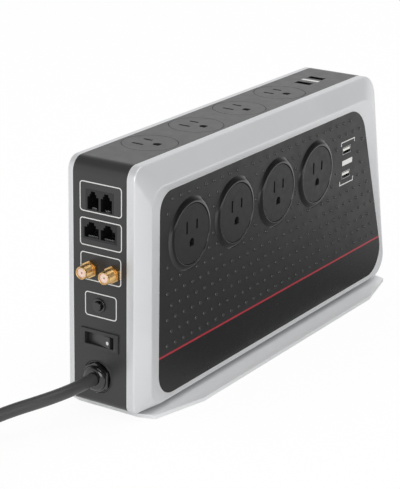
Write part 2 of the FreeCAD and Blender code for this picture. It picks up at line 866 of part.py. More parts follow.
for row, place in (
    ("front", dict(y=front_face_y, z="outlet_level")),
    ("top", dict(y="0", z="case_height", turn=FACE_UP)),
):
    for kind, side, strip_z in BUSES:
        node(blade_strip(f"{row}_{kind}", side, strip_z), f"{row}_{kind}_bus", outlet_x[0], **place)
    node(ground_strip(f"{row}_earth"), f"{row}_ground_bus", outlet_x[0], **place)

# --- USB sockets --------------------------------------------------------------
# Built facing -Y with the long side along X; mouth at y = 0.


def usb_set(tag, along):
    """Two metal shells and two contact tongues; along picks the stacking axis."""
    shells = []
    tongues = []
    for i, side in enumerate((-1, 1)):
        shift = f"({side} * usb_pitch / 2)"
        x = shift if along == "x" else "0"
        z = shift if along == "z" else "0"
        wide, tall = ("usb_wide", "usb_tall") if along == "z" else ("usb_tall", "usb_wide")
        t_wide, t_tall = ("tongue_wide", "tongue_thick") if along == "z" else ("tongue_thick", "tongue_wide")
        outer = block(f"{tag}_outer_{i}", wide, "usb_deep", tall, f"{x} - {wide} / 2", "usb_deep / 2", z)
        inner = block(
            f"{tag}_inner_{i}",
            f"{wide} - 2 * usb_skin",
            "usb_deep",
            f"{tall} - 2 * usb_skin",
            f"{x} - {wide} / 2 + usb_skin",
            "usb_deep / 2 - 2",
            z,
        )
        shells.append(cut(f"{tag}_shell_{i}", outer, inner))
        off_x = f"{x} - 0.8" if along == "x" else x
        off_z = f"{z} + 0.8" if along == "z" else z
        tongues.append(
            block(
                f"{tag}_tongue_{i}",
                t_wide,
                "tongue_deep",
                t_tall,
                f"{off_x} - {t_wide} / 2",
                "usb_deep - 2 - tongue_deep / 2",
                off_z,
            )
        )
    return shells, tongues


shells, tongues = usb_set("usb_front", "z")
place = dict(x="usb_front_x", y="usb_sink - half_depth - panel_set", z="usb_front_level")
node(group("usb_front_shells", *shells), "usb_shells_front", **place)
node(group("usb_front_tongues", *tongues), "usb_tongues_front", **place)
node(
    box("usb_card_front", "2 * card_half", "board_thick", "usb_pitch + 2 * card_margin"),
    "usb_board_front",
    "usb_front_x - card_half",
    "usb_deep + usb_sink - half_depth - panel_set",
    "usb_front_level - usb_pitch / 2 - card_margin",
)
shells, tongues = usb_set("usb_top", "x")
place = dict(x="usb_top_x", y="0", z="case_height - usb_sink", turn=FACE_UP)
node(group("usb_top_shells", *shells), "usb_shells_top", **place)
node(group("usb_top_tongues", *tongues), "usb_tongues_top", **place)
node(
    box("usb_card_top", "usb_pitch + 2 * card_margin", "2 * card_half", "board_thick"),
    "usb_board_top",
    "usb_top_x - usb_pitch / 2 - card_margin",
    "0 - card_half",
    "case_height - usb_sink - usb_deep - board_thick",
)

# --- data jacks -----------------------------------------------------------------
# Each block: two mouths side by side, a stepped latch notch above each mouth.


def jack_block(kind, wide, tall):
    """Twin jack housing with its mouths opening towards -X."""
    body = block(f"{kind}_body", "jack_deep", wide, tall, "0", "0", "0")
    cuts = []
    for i, side in enumerate((-1, 1)):
        y = f"({side} * {kind}_pitch / 2)"
        floor = f"(0 - ({tall}) / 2 + jack_rim)"
        cuts.append(
            box(f"{kind}_mouth_{i}", "jack_bore + 1", f"{kind}_wide", f"{kind}_tall", "-1", f"{y} - {kind}_wide / 2", floor)
        )
        for step, part in enumerate((0.62, 0.38)):
            cuts.append(
                box(
                    f"{kind}_notch_{i}{step}",
                    "jack_bore + 1",
                    f"{part} * {kind}_wide",
                    f"{kind}_tall + {step + 1} * notch_step",
                    "-1",
                    f"{y} - {part} * {kind}_wide / 2",
                    floor,
                )
            )
    return cut(f"{kind}_block", body, *cuts)


for kind, wide, tall in JACKS:
    node(jack_block(kind, wide, tall), f"{kind}_jacks", "0", "0", f"{kind}_level")


def jack_pins(kind, count, tall):
    """Rows of sprung contact wires lying on the mouth floors."""
    pins = []
    for i, side in enumerate((-1, 1)):
        for k in range(count):
            y = f"({side} * {kind}_pitch / 2 + {k - (count - 1) / 2} * pin_pitch)"
            pins.append(
                box(
                    f"{kind}_pin_{i}{k}",
                    "jack_bore - 2",
                    "pin_width",
                    "1.0",
                    "2",
                    f"{y} - pin_width / 2",
                    f"{kind}_level - ({tall}) / 2 + jack_rim",
                )
            )
    return pins


pins = jack_pins("phone", 4, JACKS[0][2]) + jack_pins("network", 8, JACKS[1][2])
node(group("jack_pin_set", *pins), "jack_contacts")

# --- coaxial couplers ---------------------------------------------------------------
for i, y in enumerate(coax_y):
    barrel = rod(f"barrel_{i}", "coax_radius", "coax_reach - coax_nut", "-coax_reach", "0", "0", ALONG_X)
    neck = rod(f"neck_{i}", "coax_neck", "coax_nut + coax_inside + 0.2", "-coax_nut - 0.2", "0", "0", ALONG_X)
    shoulder = hexagon(f"shoulder_{i}", "coax_flats + 2", "3", "wall", "0", "0", ALONG_X)
    insert = rod(f"coax_mouth_{i}", "coax_bore", "2.5", "-coax_reach - 1", "0", "0", ALONG_X)
    centre = rod(f"coax_centre_{i}", "0.6", "6", "-coax_reach", "0", "0", ALONG_X)
    node(cut(f"coax_{i}", fuse(f"coax_solid_{i}", barrel, neck, shoulder), insert, centre), f"coax_jack_{i + 1}", "0", y, "coax_level")
coax_nuts = [
    cut(
        f"coax_nut_{i}",
        hexagon(f"coax_hex_{i}", "coax_flats", "coax_nut", "-coax_nut", y, "coax_level", ALONG_X),
        rod(f"coax_nut_bore_{i}", "coax_neck + 0.05", "10", "-6", y, "coax_level", ALONG_X),
    )
    for i, y in enumerate(coax_y)
]
node(group("coax_nut_set", *coax_nuts), "coax_nuts")

# --- reset breaker ------------------------------------------------------------------
bushing = cut(
    "bushing_cut",
    fuse(
        "bushing_solid",
        rod("bushing_head", "bushing_radius", "bushing_stand", "-bushing_stand", "0", "0", ALONG_X),
        rod("bushing_shank", "bushing_neck", "wall + 3.4", "-0.2", "0", "0", ALONG_X),
    ),
    rod("bushing_bore", "button_radius + button_gap", "20", "-5", "0", "0", ALONG_X),
)
node(bushing, "reset_bushing", "0", "reset_y", "reset_level")
button = fuse(
    "button_solid",
    rod("button_cap", "button_radius", "button_stand + wall + 1.0", "-button_stand", "0", "0", ALONG_X),
    rod("button_stem", "1.6", "12", "wall", "0", "0", ALONG_X),
)
node(button, "reset_button", "0", "reset_y", "reset_level")
breaker = cut(
    "breaker_cut",
    block("breaker_case", "breaker_deep", "breaker_wide", "breaker_tall", "wall + 3.2", "0", "0"),
    rod("stem_bore", "1.75", "wall + 14 + button_travel", "0", "0", "0", ALONG_X),
)
node(breaker, "breaker_body", "0", "reset_y", "reset_level")

# --- rocker switch --------------------------------------------------------------------
bezel = fuse(
    "bezel_solid",
    block("bezel_flange", "bezel_stand", "bezel_wide", "bezel_tall", "-bezel_stand", "0", "0"),
    block("bezel_box", "well_deep", "well_wide + 2 * switch_wall", "well_tall + 2 * switch_wall", "-0.2", "0", "0"),
)
bezel_cuts = [
    block("bezel_well", "40", "well_wide", "well_tall", "-10", "0", "0"),
    rod("pivot_bore", "pivot_radius + pivot_gap", "well_tall + 2 * switch_wall - 0.8", "pivot_in", "0", "-(well_tall + 2 * switch_wall - 0.8) / 2"),
]
node(cut("bezel_cut", bezel, *bezel_cuts), "switch_bezel", "0", "switch_y", "switch_level")
rocker_points = [
    Vector(-value("rocker_face"), -value("rocker_half"), 0),
    Vector(-value("rocker_face"), value("rocker_half"), 0),
    Vector(-value("rocker_face") + 4.2, value("rocker_half") - 0.5, 0),
    Vector(value("pivot_radius") + 0.6, 3.4, 0),
    Vector(value("pivot_radius") + 0.6, -3.4, 0),
    Vector(-value("rocker_face") + 4.2, 0.5 - value("rocker_half"), 0),
]
rocker_face = Part.Face(Part.makePolygon(rocker_points + rocker_points[:1]))
rocker_slab = rocker_face.extrude(Vector(0, 0, value("rocker_tall")))
rocker_slab.translate(Vector(0, 0, -value("rocker_tall") / 2))
rocker = fuse(
    "rocker_solid",
    shaped("rocker_slab", rocker_slab),
    rod("rocker_pivot", "pivot_radius", "well_tall + 2 * switch_wall - 1.4", "0", "0", "-(well_tall + 2 * switch_wall - 1.4) / 2"),
)
node(rocker, "rocker", "pivot_in", "switch_y", "switch_level", Rotation(Vector(0, 0, 1), -value("rocker_tilt")))
switch_base = fuse(
    "switch_base_solid",
    block("switch_block", "switch_base_deep", "well_wide + 2 * switch_wall", "well_tall + 2 * switch_wall", "well_deep - 0.2", "0", "0"),
    *[
        block(f"switch_tab_{k}", "9", "0.8", "4.8", "well_deep + switch_base_deep - 0.5", f"{k} * 8", "0")
        for k in (-1, 0, 1)
    ],
)
node(switch_base, "switch_base", "0", "switch_y", "switch_level")

# --- cord gland -----------------------------------------------------------------------
cup = cut(
    "cup_cut",
    fuse(
        "cup_solid",
        rod("cup_outer", "cup_radius", "cup_deep + cup_floor", "0", "0", "0", ALONG_X),
        rod("cup_flange", "cup_radius + 1.6", "1.6", "wall", "0", "0", ALONG_X),
    ),
    rod("cup_inner", "cup_radius - cup_wall", "cup_deep + 1", "-1", "0", "0", ALONG_X),
    rod("cup_bore", "gland_thread + 0.3", "10", "cup_deep - 1", "0", "0", ALONG_X),
)
node(cup, "gland_cup", "0", "gland_y", "gland_level")
gland_bore_r = "(cord_radius + cord_play)"
gland = cut(
    "gland_cut",
    fuse(
        "gland_solid",
        hexagon("gland_hex", "gland_flats", "gland_flange", "cup_deep - gland_flange", "0", "0", ALONG_X),
        rod("gland_barrel", "gland_thread", "gland_inside", "cup_deep - 0.2", "0", "0", ALONG_X),
    ),
    rod("gland_bore", gland_bore_r, "60", "-20", "0", "0", ALONG_X),
)
node(gland, "gland_body", "0", "gland_y", "gland_level")
nut = cut(
    "gland_nut_cut",
    fuse(
        "gland_nut_solid",
        hexagon("gland_nut_hex", "gland_flats", "nut_long - 3", "cup_deep - gland_flange - nut_long + 3", "0", "0", ALONG_X),
        cone("gland_dome", "cord_radius + 1.9", "gland_flats / 2 - 0.2", "3.01", "cup_deep - gland_flange - nut_long", "0", "0", ALONG_X),
    ),
    rod("gland_nut_bore", gland_bore_r, "60", "-20", "0", "0", ALONG_X),
)
node(nut, "gland_nut", "0", "gland_y", "gland_level")
locknut = cut(
    "locknut_cut",
    hexagon("locknut_hex", "gland_flats", "locknut_thick", "cup_deep + cup_floor", "0", "0", ALONG_X),
    rod("locknut_bore", "gland_thread + 0.05", "30", "0", "0", "0", ALONG_X),
)
node(locknut, "gland_locknut", "0", "gland_y", "gland_level")

# --- power cord ---------------------------------------------------------------------------
# Corner points of the cord's middle line from the casing's left underside; the
# last ones lie on the desk.  Corners are rounded by tangent arcs.
cord_r = value("cord_radius")
desk = cord_r + 0.05 - value("base")
gland_mouth = value("cup_deep") - value("gland_flange") - value("nut_long")
cord_y = value("gland_y")
cord_z = value("gland_level")
cord_points = [
    Vector(gland_mouth, cord_y, cord_z),
    Vector(gland_mouth - 21.0, cord_y, cord_z),
    Vector(gland_mouth - 43.0, cord_y + 8.3, cord_z - 2.6),
    Vector(gland_mouth - 66.5, cord_y + 27.6, cord_z - 8.9),
    Vector(gland_mouth - 90.5, cord_y + 44.9, cord_z - 18.6),
    Vector(gland_mouth - 111.0, cord_y + 57.7, desk),
    Vector(gland_mouth - 121.8, cord_y + 63.9, desk),
]


def rounded_path(points):
    """Straight runs joined by tangent arcs at every inner corner."""
    edges = []
    at = points[0]
    for before, corner, after in zip(points, points[1:], points[2:]):
        back = before - corner
        ahead = after - corner
        turn = math.pi - back.getAngle(ahead)
        reach = 0.45 * min(back.Length, ahead.Length)
        radius = reach / math.tan(turn / 2)
        start = corner + back.normalize() * reach
        stop = corner + ahead.normalize() * reach
        inward = (back + ahead).normalize()
        middle = corner + inward * (radius / math.cos(turn / 2) - radius)
        edges.append(Part.LineSegment(at, start).toShape())
        edges.append(Part.Arc(start, middle, stop).toShape())
        at = stop
    edges.append(Part.LineSegment(at, points[-1]).toShape())
    return Part.Wire(edges)


def sweep(points, radius):
    """Round bar along a rounded path."""
    path = rounded_path(points)
    ahead = (points[1] - points[0]).normalize()
    ring = Part.Wire([Part.makeCircle(radius, points[0], ahead)])
    return path.makePipeShell([ring], True, False)


tube_shape = sweep(cord_points, cord_r)
node(shaped("cord_tube", tube_shape), "power_cord")

# Coil on the desk: a closed ring with a straight lead in, and a short lead out
# over its top to the plug.  Its turns run anticlockwise from above.
coil_r = value("coil_radius")
coil_h = value("coil_turns") * value("coil_pitch")
lead_way = (cord_points[-1] - cord_points[-2]).normalize()
inward = Vector(-lead_way.y, lead_way.x, 0)
lead_long = value("coil_lead")
touch = cord_points[-1] + lead_way * lead_long
coil_middle = touch + inward * coil_r
coil_floor = 0.05 - value("base")
UP = Vector(0, 0, 1)


def on_coil(angle, level):
    """Point on the turns' middle circle, angle in degrees on from the first touch."""
    spoke = Rotation(UP, angle).multVec(inward * -1.0)
    return Vector(coil_middle.x, coil_middle.y, level) + spoke * coil_r


ring_low = Vector(coil_middle.x, coil_middle.y, coil_floor)
ring = Part.makeCylinder(coil_r + cord_r, coil_h, ring_low).cut(
    Part.makeCylinder(coil_r - cord_r, coil_h + 2, ring_low - UP)
)
lead_in = Part.makeCylinder(cord_r, lead_long + 4, cord_points[-1], lead_way)
top_level = coil_floor + coil_h + cord_r - 0.15
end_angle = value("coil_leave")
leave = on_coil(end_angle, top_level)
way_a = Rotation(UP, end_angle + 14.0).multVec(lead_way)
way_b = Rotation(UP, end_angle + 38.0).multVec(lead_way)
plug_axis = coil_floor + coil_h + value("plug_thick") / 2 + 0.05
bend = leave + way_a * 24.0
bend.z = plug_axis
tail = bend + way_b * 14.0
lead_out = sweep([leave - way_a * 8.0, leave + way_a * 0.5 + UP * 0.1, bend, tail], cord_r)
coil_shape = ring.fuse(lead_in).fuse(lead_out)
node(shaped("coil_shape", coil_shape), "cord_coil")

# Plug: tail, grip and three prongs, lying on the coil.
plug_way = (tail - bend).normalize()
flat_way = Vector(plug_way.x, plug_way.y, 0).normalize()
side_way = Vector(0, 0, 1).cross(flat_way)
size_w = value("plug_wide")
size_t = value("plug_thick")
plug_turn = Rotation(Vector(1, 0, 0), flat_way)
grip = Part.makeBox(value("plug_long"), size_w, size_t, Vector(value("plug_tail"), -size_w / 2, -size_t / 2))
grip = grip.makeFillet(4.0, [e for e in grip.Edges if abs(e.tangentAt(e.FirstParameter).x) > 0.9])
tail_cone = Part.makeCone(cord_r + 1.6, 9.0, value("plug_tail") + 0.5, Vector(0, 0, 0), Vector(1, 0, 0))
plug_shape = grip.fuse(tail_cone)
plug_place = Placement(tail, plug_turn).toMatrix()
node(shaped("plug_shape", plug_shape.transformed(plug_place, True)), "plug_body")
tip = value("plug_tail") + value("plug_long")
prongs = []
for side in (-1, 1):
    prongs.append(
        Part.makeBox(value("blade_long"), value("blade_thick"), value("blade_tall"), Vector(tip, side * value("blade_half") - value("blade_thick") / 2, 1.0))
    )
prongs.append(Part.makeCylinder(value("pin_radius"), value("blade_long") + 2, Vector(tip, 0, 4.15 - 11.9 + 2.0), Vector(1, 0, 0)))
prong_set = Part.makeCompound([prong.transformed(plug_place, True) for prong in prongs])
node(shaped("prong_set", prong_set), "plug_prongs")

# --- surge circuit ---------------------------------------------------------------------------
node(
    box("card", "card_right - card_left", "board_thick", "card_high - card_low"),
    "main_board",
    "card_left",
    "card_y",
    "card_low",
)
varistors = [
    rod(f"varistor_{k}", "varistor_radius", "varistor_thick", f"card_left + 90 + {k} * varistor_pitch", "card_y - varistor_thick", "card_low + 52", ALONG_Y)
    for k in range(6)
]
node(group("varistor_set", *varistors), "varistors")
choke = doc.addObject("Part::Torus", "choke")
choke.setExpression("Radius1", bound("choke_radius"))
choke.setExpression("Radius2", bound("choke_section"))
node(choke, "filter_choke", "card_left + 40", "card_y - choke_section", "card_low + 38", ALONG_Y)
capacitors = [
    box(f"capacitor_{k}", "capacitor_wide", "capacitor_deep", "capacitor_tall", f"card_left + 88 + {k} * (capacitor_wide + 8)", "card_y - capacitor_deep", "card_low + 12")
    for k in range(4)
]
node(group("capacitor_set", *capacitors), "capacitors")

doc.recompute()
faults = []
for obj in doc.Objects:
    if "Invalid" in obj.State or "Error" in obj.State:
        faults.append(f"{obj.Name}: {obj.State}")
for obj in nodes:
    if obj.Shape.isNull() or not obj.Shape.isValid() or not obj.Shape.Solids:
        faults.append(f"{obj.Label}: bad shape")
if faults:
    raise RuntimeError("; ".join(faults))
os.makedirs("parts", exist_ok=True)
for obj in nodes:
    obj.Shape.exportStep(f"parts/{obj.Label}.step")
print(len(nodes), "parts")
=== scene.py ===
import math
import bmesh
import bpy
import numpy as np
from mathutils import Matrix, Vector


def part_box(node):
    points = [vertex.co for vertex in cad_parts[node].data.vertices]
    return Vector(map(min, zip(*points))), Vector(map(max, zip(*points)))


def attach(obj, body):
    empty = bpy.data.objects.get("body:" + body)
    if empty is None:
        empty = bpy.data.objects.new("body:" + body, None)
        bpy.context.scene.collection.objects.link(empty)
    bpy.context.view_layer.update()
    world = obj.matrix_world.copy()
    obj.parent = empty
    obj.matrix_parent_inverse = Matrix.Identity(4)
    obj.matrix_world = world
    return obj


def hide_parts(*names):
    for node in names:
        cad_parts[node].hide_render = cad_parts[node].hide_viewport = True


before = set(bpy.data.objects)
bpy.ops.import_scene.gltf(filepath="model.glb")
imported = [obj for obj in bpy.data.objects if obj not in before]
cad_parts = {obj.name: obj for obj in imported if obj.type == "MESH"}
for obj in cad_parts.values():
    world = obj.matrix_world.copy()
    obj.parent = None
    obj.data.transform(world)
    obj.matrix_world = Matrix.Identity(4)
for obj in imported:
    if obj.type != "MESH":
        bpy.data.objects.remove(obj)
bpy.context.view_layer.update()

# Desk-standing surge protector: black casing, silver front bezel, rear cover
# and foot, dotted front panel with four outlets and two USB ports, the same
# again along the top, and data, coaxial, reset, switch and cord fittings on
# the left end.  Lengths are millimetres and become metres in solid().  Places
# are measured from the casing's left underside corner, at mid-depth: x to the
# right, y to the back and z up.

MM = 0.001
case_low, case_high = [np.array(corner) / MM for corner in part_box("body_shell")]
LEFT = case_low[0]
BASE = case_low[2]
HEIGHT = case_high[2] - BASE
BOTTOM_LENGTH = 369.0
TOP_LENGTH = 340.0
LEAN = (BOTTOM_LENGTH - TOP_LENGTH) / HEIGHT
FRAME_JOINT = -22.35  # depth where the front bezel meets the casing
FACE = -34.45  # depth of the front panel's face
INK = 0.05  # thickness of printed ink


# --- small helpers ------------------------------------------------------------


def tone(code):
    """sRGB hex colour as linear RGBA."""
    parts = [int(code[i : i + 2], 16) / 255 for i in (0, 2, 4)]
    return [c / 12.92 if c <= 0.04045 else ((c + 0.055) / 1.055) ** 2.4 for c in parts] + [1.0]


def add(material, kind, links=None, **settings):
    """Adds one shader node: settings are its properties or plain socket values, links feed its sockets."""
    node = material.node_tree.nodes.new(kind)
    for key, number in settings.items():
        if hasattr(node, key):
            setattr(node, key, number)
        else:
            node.inputs[key.replace("_", " ")].default_value = number
    for socket, source in (links or {}).items():
        material.node_tree.links.new(source, node.inputs[socket])
    return node


def blank(name):
    """A material with an empty node tree."""
    material = bpy.data.materials.new(name)
    material.use_nodes = True
    material.node_tree.nodes.clear()
    return material


def put(name, data):
    """A new object of this data, in the scene."""
    piece = bpy.data.objects.new(name, data)
    bpy.context.scene.collection.objects.link(piece)
    return piece


def place(points, *spot):
    """Points moved from the casing's left underside corner, mid-depth, to where the frame has them."""
    return np.asarray(points, float) + [LEFT, 0, BASE] + (np.array(spot) if spot else 0)


def span(node):
    """Low and high corners of a CAD node, measured as the pieces here are."""
    low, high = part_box(node)
    return np.array(low) / MM - [LEFT, 0, BASE], np.array(high) / MM - [LEFT, 0, BASE]


def solid(name, points, faces, material, body="casing", smooth=True, sharp=None):
    """A mesh piece, points in millimetres, riding on a body; edges past the angle sharp stay crisp."""
    mesh = bpy.data.meshes.new(name)
    corners = (np.asarray(points, float) * MM).tolist()
    mesh.from_pydata(corners, [], faces if isinstance(faces, list) else faces.tolist())
    mesh.update()
    if smooth:
        mesh.shade_smooth()
    else:
        mesh.shade_flat()
    if sharp:
        mesh.set_sharp_from_angle(angle=math.radians(sharp))
    mesh.materials.append(material)
    piece = put(name, mesh)
    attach(piece, body)
    return piece


def grid_faces(rows, columns, close_rows=False, close_columns=True):
    """Quads of a grid of points numbered row by row, joined round on itself where asked."""
    r = np.arange(rows if close_rows else rows - 1)[:, None]
    c = np.arange(columns if close_columns else columns - 1)[None, :]
    r2 = (r + 1) % rows
    c2 = (c + 1) % columns
    quads = np.stack([r * columns + c, r * columns + c2, r2 * columns + c2, r2 * columns + c], -1)
    return quads.reshape(-1, 4)


def eased(name, node, material, width=0.4, steps=2, body="casing", angle=30):
    """A copy of a CAD node, its triangles merged into whole faces and its edges rounded over by a bevel."""
    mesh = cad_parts[node].data.copy()
    mesh.name = name
    work = bmesh.new()
    work.from_mesh(mesh)
    bmesh.ops.remove_doubles(work, verts=work.verts, dist=0.002 * MM)
    bmesh.ops.dissolve_limit(
        work, angle_limit=math.radians(0.6), verts=work.verts, edges=work.edges,
        use_dissolve_boundaries=False,
    )
    work.to_mesh(mesh)
    work.free()
    mesh.materials.clear()
    mesh.materials.append(material)
    mesh.shade_smooth()
    mesh.set_sharp_from_angle(angle=math.radians(angle))
    piece = put(name, mesh)
    bevel = piece.modifiers.new("eased_edges", "BEVEL")
    bevel.width = width * MM
    bevel.segments = steps
    bevel.limit_method = "ANGLE"
    bevel.angle_limit = math.radians(angle)
    bevel.use_clamp_overlap = True
    bevel.harden_normals = True
    bevel.miter_outer = "MITER_ARC"
    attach(piece, body)
    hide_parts(node)
    return piece


# --- materials -----------------------------------------------------------------


def surface(
    name, colour, shade, rough, spread, grain, height, mottle=18.0, metal=0.0, edge_wear_and_highlight=None, edge_width=0.5, **sockets
):
    """Shared build of a solid finish.

    colour drifts to shade over cloudy patches of mottle mm, roughness drifts by
    spread over patches a third as large, and grain mm of height mm gives the
    surface its tooth.  Edges turn to the edge colour over a band of the edge width
    in mm: partly handling wear, partly a painted highlight along ridges and rims.
    """
    material = blank(name)
    place = add(material, "ShaderNodeTexCoord").outputs["Object"]
    clouds = add(material, "ShaderNodeTexNoise", {"Vector": place}, Scale=1 / (mottle * MM), Detail=3.0)
    colours = add(material, "ShaderNodeMix", {"Factor": clouds.outputs["Fac"]}, data_type="RGBA")
    # sockets 6 and 7 of a colour mix are its two colours, and output 2 is the mixed one
    colours.inputs[6].default_value = tone(colour)
    colours.inputs[7].default_value = tone(shade)
    base = colours.outputs[2]
    smear = add(material, "ShaderNodeTexNoise", {"Vector": place}, Scale=3 / (mottle * MM), Detail=4.0)
    gloss = add(
        material, "ShaderNodeMapRange", {"Value": smear.outputs["Fac"]},
        From_Min=0.3, From_Max=0.7, To_Min=rough - spread, To_Max=rough + spread,
    )
    tooth = add(material, "ShaderNodeTexNoise", {"Vector": place}, Scale=1 / (grain * MM), Detail=2.0)
    bump = add(
        material, "ShaderNodeBump", {"Height": tooth.outputs["Fac"]},
        Strength=1.0, Distance=height * MM,
    )
    # Edges turn to the edge colour here: partly handling wear, partly a painted highlight along ridges and
    # rims.
    if edge_wear_and_highlight:
        soft = add(material, "ShaderNodeBevel", samples=4, Radius=edge_width * MM)
        true = add(material, "ShaderNodeNewGeometry")
        flat = add(
            material, "ShaderNodeVectorMath",
            {0: soft.outputs["Normal"], 1: true.outputs["Normal"]}, operation="DOT_PRODUCT",
        )
        edge = add(
            material, "ShaderNodeMapRange", {"Value": flat.outputs["Value"]},
            From_Min=0.995, From_Max=0.93, To_Min=0.0, To_Max=0.6,
        )
        patchy = add(
            material, "ShaderNodeMath",
            {0: edge.outputs["Result"], 1: smear.outputs["Fac"]}, operation="MULTIPLY",
        )
        edge_tinted = add(material, "ShaderNodeMix", {"Factor": patchy.outputs["Value"]}, data_type="RGBA")
        material.node_tree.links.new(base, edge_tinted.inputs[6])
        edge_tinted.inputs[7].default_value = tone(edge_wear_and_highlight)
        base = edge_tinted.outputs[2]
    shader = add(
        material, "ShaderNodeBsdfPrincipled",
        {"Base Color": base, "Roughness": gloss.outputs["Result"], "Normal": bump.outputs["Normal"]},
        Metallic=metal, **sockets,
    )
    add(material, "ShaderNodeOutputMaterial", {"Surface": shader.outputs["BSDF"]})
    return material


# Aluminium lacquer over moulded ABS: pale, even, with soft broad highlights and a very fine sparkle.  Its
# edges turn white over a band 1.8 mm wide, a painted highlight along the ridges.
silver = surface("silver_lacquered_abs", "d8d9da", "cfd0d2", 0.36, 0.03, 1.4, 0.001, 40, 0.4, "ffffff", 1.8)
# The same lacquer on the foot plate, painted paler than on the bezel as painted light: the flat plate is
# shown as lit from above.
silver_painted_lit_foot = surface(
    "lacquer_painted_lit_foot_plate", "e6e7e8", "dedfe0", 0.38, 0.03, 1.2, 0.001,
    40, 0.2, "f6f6f6",
)
# Moulded black ABS of the casing: spark-eroded fine texture, satin where it turns to the light.
casing_black = surface(
    "spark_textured_black_abs", "2d2d2e", "323233", 0.33, 0.025, 0.5, 0.008,
    25, 0, "414142",
)
# Panel film: dead matt black with a soft tooth.
panel_black = surface(
    "matt_embossed_black_panel", "1e1e1e", "232323", 0.42, 0.05, 0.35, 0.010,
    30, Specular_IOR_Level=0.42,
)
# The same film over its raised dots, polished a little by handling.
panel_dot = surface(
    "matt_black_raised_dots", "1a1a1b", "1f1f20", 0.14, 0.03, 0.8, 0.002,
    30, Specular_IOR_Level=1.0,
)
# Clear-lacquered black band under the line: smoother and deeper than the panel.
band_black = surface(
    "gloss_black_band", "121212", "161616", 0.24, 0.04, 1.5, 0.002,
    30, Specular_IOR_Level=0.35,
)
# Polished black polycarbonate of the outlet rings: mirror-like, so it shows the studio as sharp patches.
ring_black = surface(
    "polished_black_polycarbonate", "060607", "09090a", 0.12, 0.02, 2.5, 0.001,
    20, 0, "2a2a2b", Specular_IOR_Level=0.85,
)
# Moulded black thermoplastic outlet faces: flat satin, charcoal in the light.
face_black = surface(
    "satin_black_thermoplastic", "1e1e1f", "222223", 0.46, 0.05, 0.3, 0.004,
    15, 0, "4a4a4b", Specular_IOR_Level=0.42,
)
# Glass-filled nylon of gland, bushing, bezel and jacks: darker, with a slightly oily sheen.
nylon = surface("moulded_black_nylon", "141415", "19191a", 0.32, 0.06, 0.6, 0.006, 12, 0, "303031")
# Crimson lacquer of the line across the panel.
crimson = surface("crimson_lacquer_line", "a62234", "981a2b", 0.32, 0.03, 1.0, 0.002, 20)
# Gold-plated turned brass: warm, bright, with fine lathe marks.
gold = surface("gold_plated_turned_brass", "e9c48c", "dcb376", 0.26, 0.05, 0.2, 0.004, 5, 1.0, "f2cf8e")
# Nickel-plated stamped steel of the USB shells.
nickel = surface("nickel_plated_stamped_steel", "c4c5c7", "b4b5b8", 0.24, 0.06, 0.4, 0.003, 6, 1.0, "e0e1e2")
# Black nickel of the upper USB shells, which read as plain dark slots.
black_nickel = surface("black_nickel_plated_steel", "38383a", "303032", 0.34, 0.05, 0.4, 0.003, 6, 1.0)
# White screen ink: flat, opaque, a little chalky.
ink = surface("white_screen_ink", "dcdcda", "d3d3d1", 0.6, 0.05, 0.3, 0.004, 6)
# Ivory PBT of the USB tongues.
ivory = surface("ivory_moulded_pbt", "e4e2dc", "dad8d0", 0.4, 0.05, 0.3, 0.004, 5)
# Natural PTFE insulator in the jacks' mouths.
insulator = surface("natural_ptfe_insulator", "f1d8ca", "e8cbbb", 0.45, 0.04, 0.5, 0.004, 4)
# Drawn brass strip of the contact clips, dulled by handling.
brass = surface("rolled_brass_strip", "b98d45", "a47a38", 0.36, 0.08, 0.4, 0.006, 8, 1.0)
# Zinc-plated steel screws.
zinc = surface("zinc_plated_steel", "b9bcc0", "a7aaae", 0.34, 0.08, 0.3, 0.006, 4, 1.0)
# Extruded black PVC cord jacket: soft sheen along its length.
jacket = surface("extruded_black_pvc", "3a3a3b", "404041", 0.42, 0.05, 0.5, 0.015, 20)
# Natural-black rubber pads under the foot.
rubber = surface("moulded_black_rubber", "1b1b1b", "222222", 0.75, 0.08, 0.4, 0.02, 8)
# Green solder mask on glass-epoxy board.
board = surface("green_solder_mask_board", "14502c", "0f4424", 0.35, 0.06, 1.0, 0.01, 12)
# Blue epoxy-dipped varistor discs.
epoxy = surface("blue_epoxy_dip", "1c3f7d", "17356c", 0.30, 0.06, 1.2, 0.02, 8)
# Sintered ferrite ring under its winding.
ferrite = surface("sintered_ferrite", "3a3633", "2e2b29", 0.6, 0.1, 0.6, 0.03, 8)
# Yellow polyester film capacitor boxes.
film = surface("yellow_polyester_box", "c99a1e", "bd8e18", 0.4, 0.06, 0.5, 0.006, 9)

FINISHES = {
    casing_black: ["body_shell"] + [f"outlet_top_{i}" for i in (1, 2, 3, 4)],
    face_black: [f"outlet_front_{i}" for i in (1, 2, 3, 4)],
    panel_black: ["front_panel"],
    band_black: ["lower_band"],
    crimson: ["accent_line"],
    silver: ["rear_cover"],
    nylon: [
        "usb_tongues_top", "foot_riser", "phone_jacks", "network_jacks",
        "gland_locknut", "switch_base", "breaker_body",
    ],
    gold: ["coax_nuts"],
    nickel: ["jack_contacts", "usb_shells_front", "plug_prongs"],
    black_nickel: ["usb_shells_top"],
    brass: [f"{row}_{kind}_bus" for row in ("front", "top") for kind in ("hot", "neutral", "ground")],
    zinc: ["rear_screws", "foot_screws"],
    rubber: ["foot_pads"],
    board: ["main_board", "usb_board_front", "usb_board_top"],
    epoxy: ["varistors"],
    ferrite: ["filter_choke"],
    film: ["capacitors"],
}
for material, names in FINISHES.items():
    for name in names:
        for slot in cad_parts[name].material_slots:
            slot.material = material


# --- camera --------------------------------------------------------------------

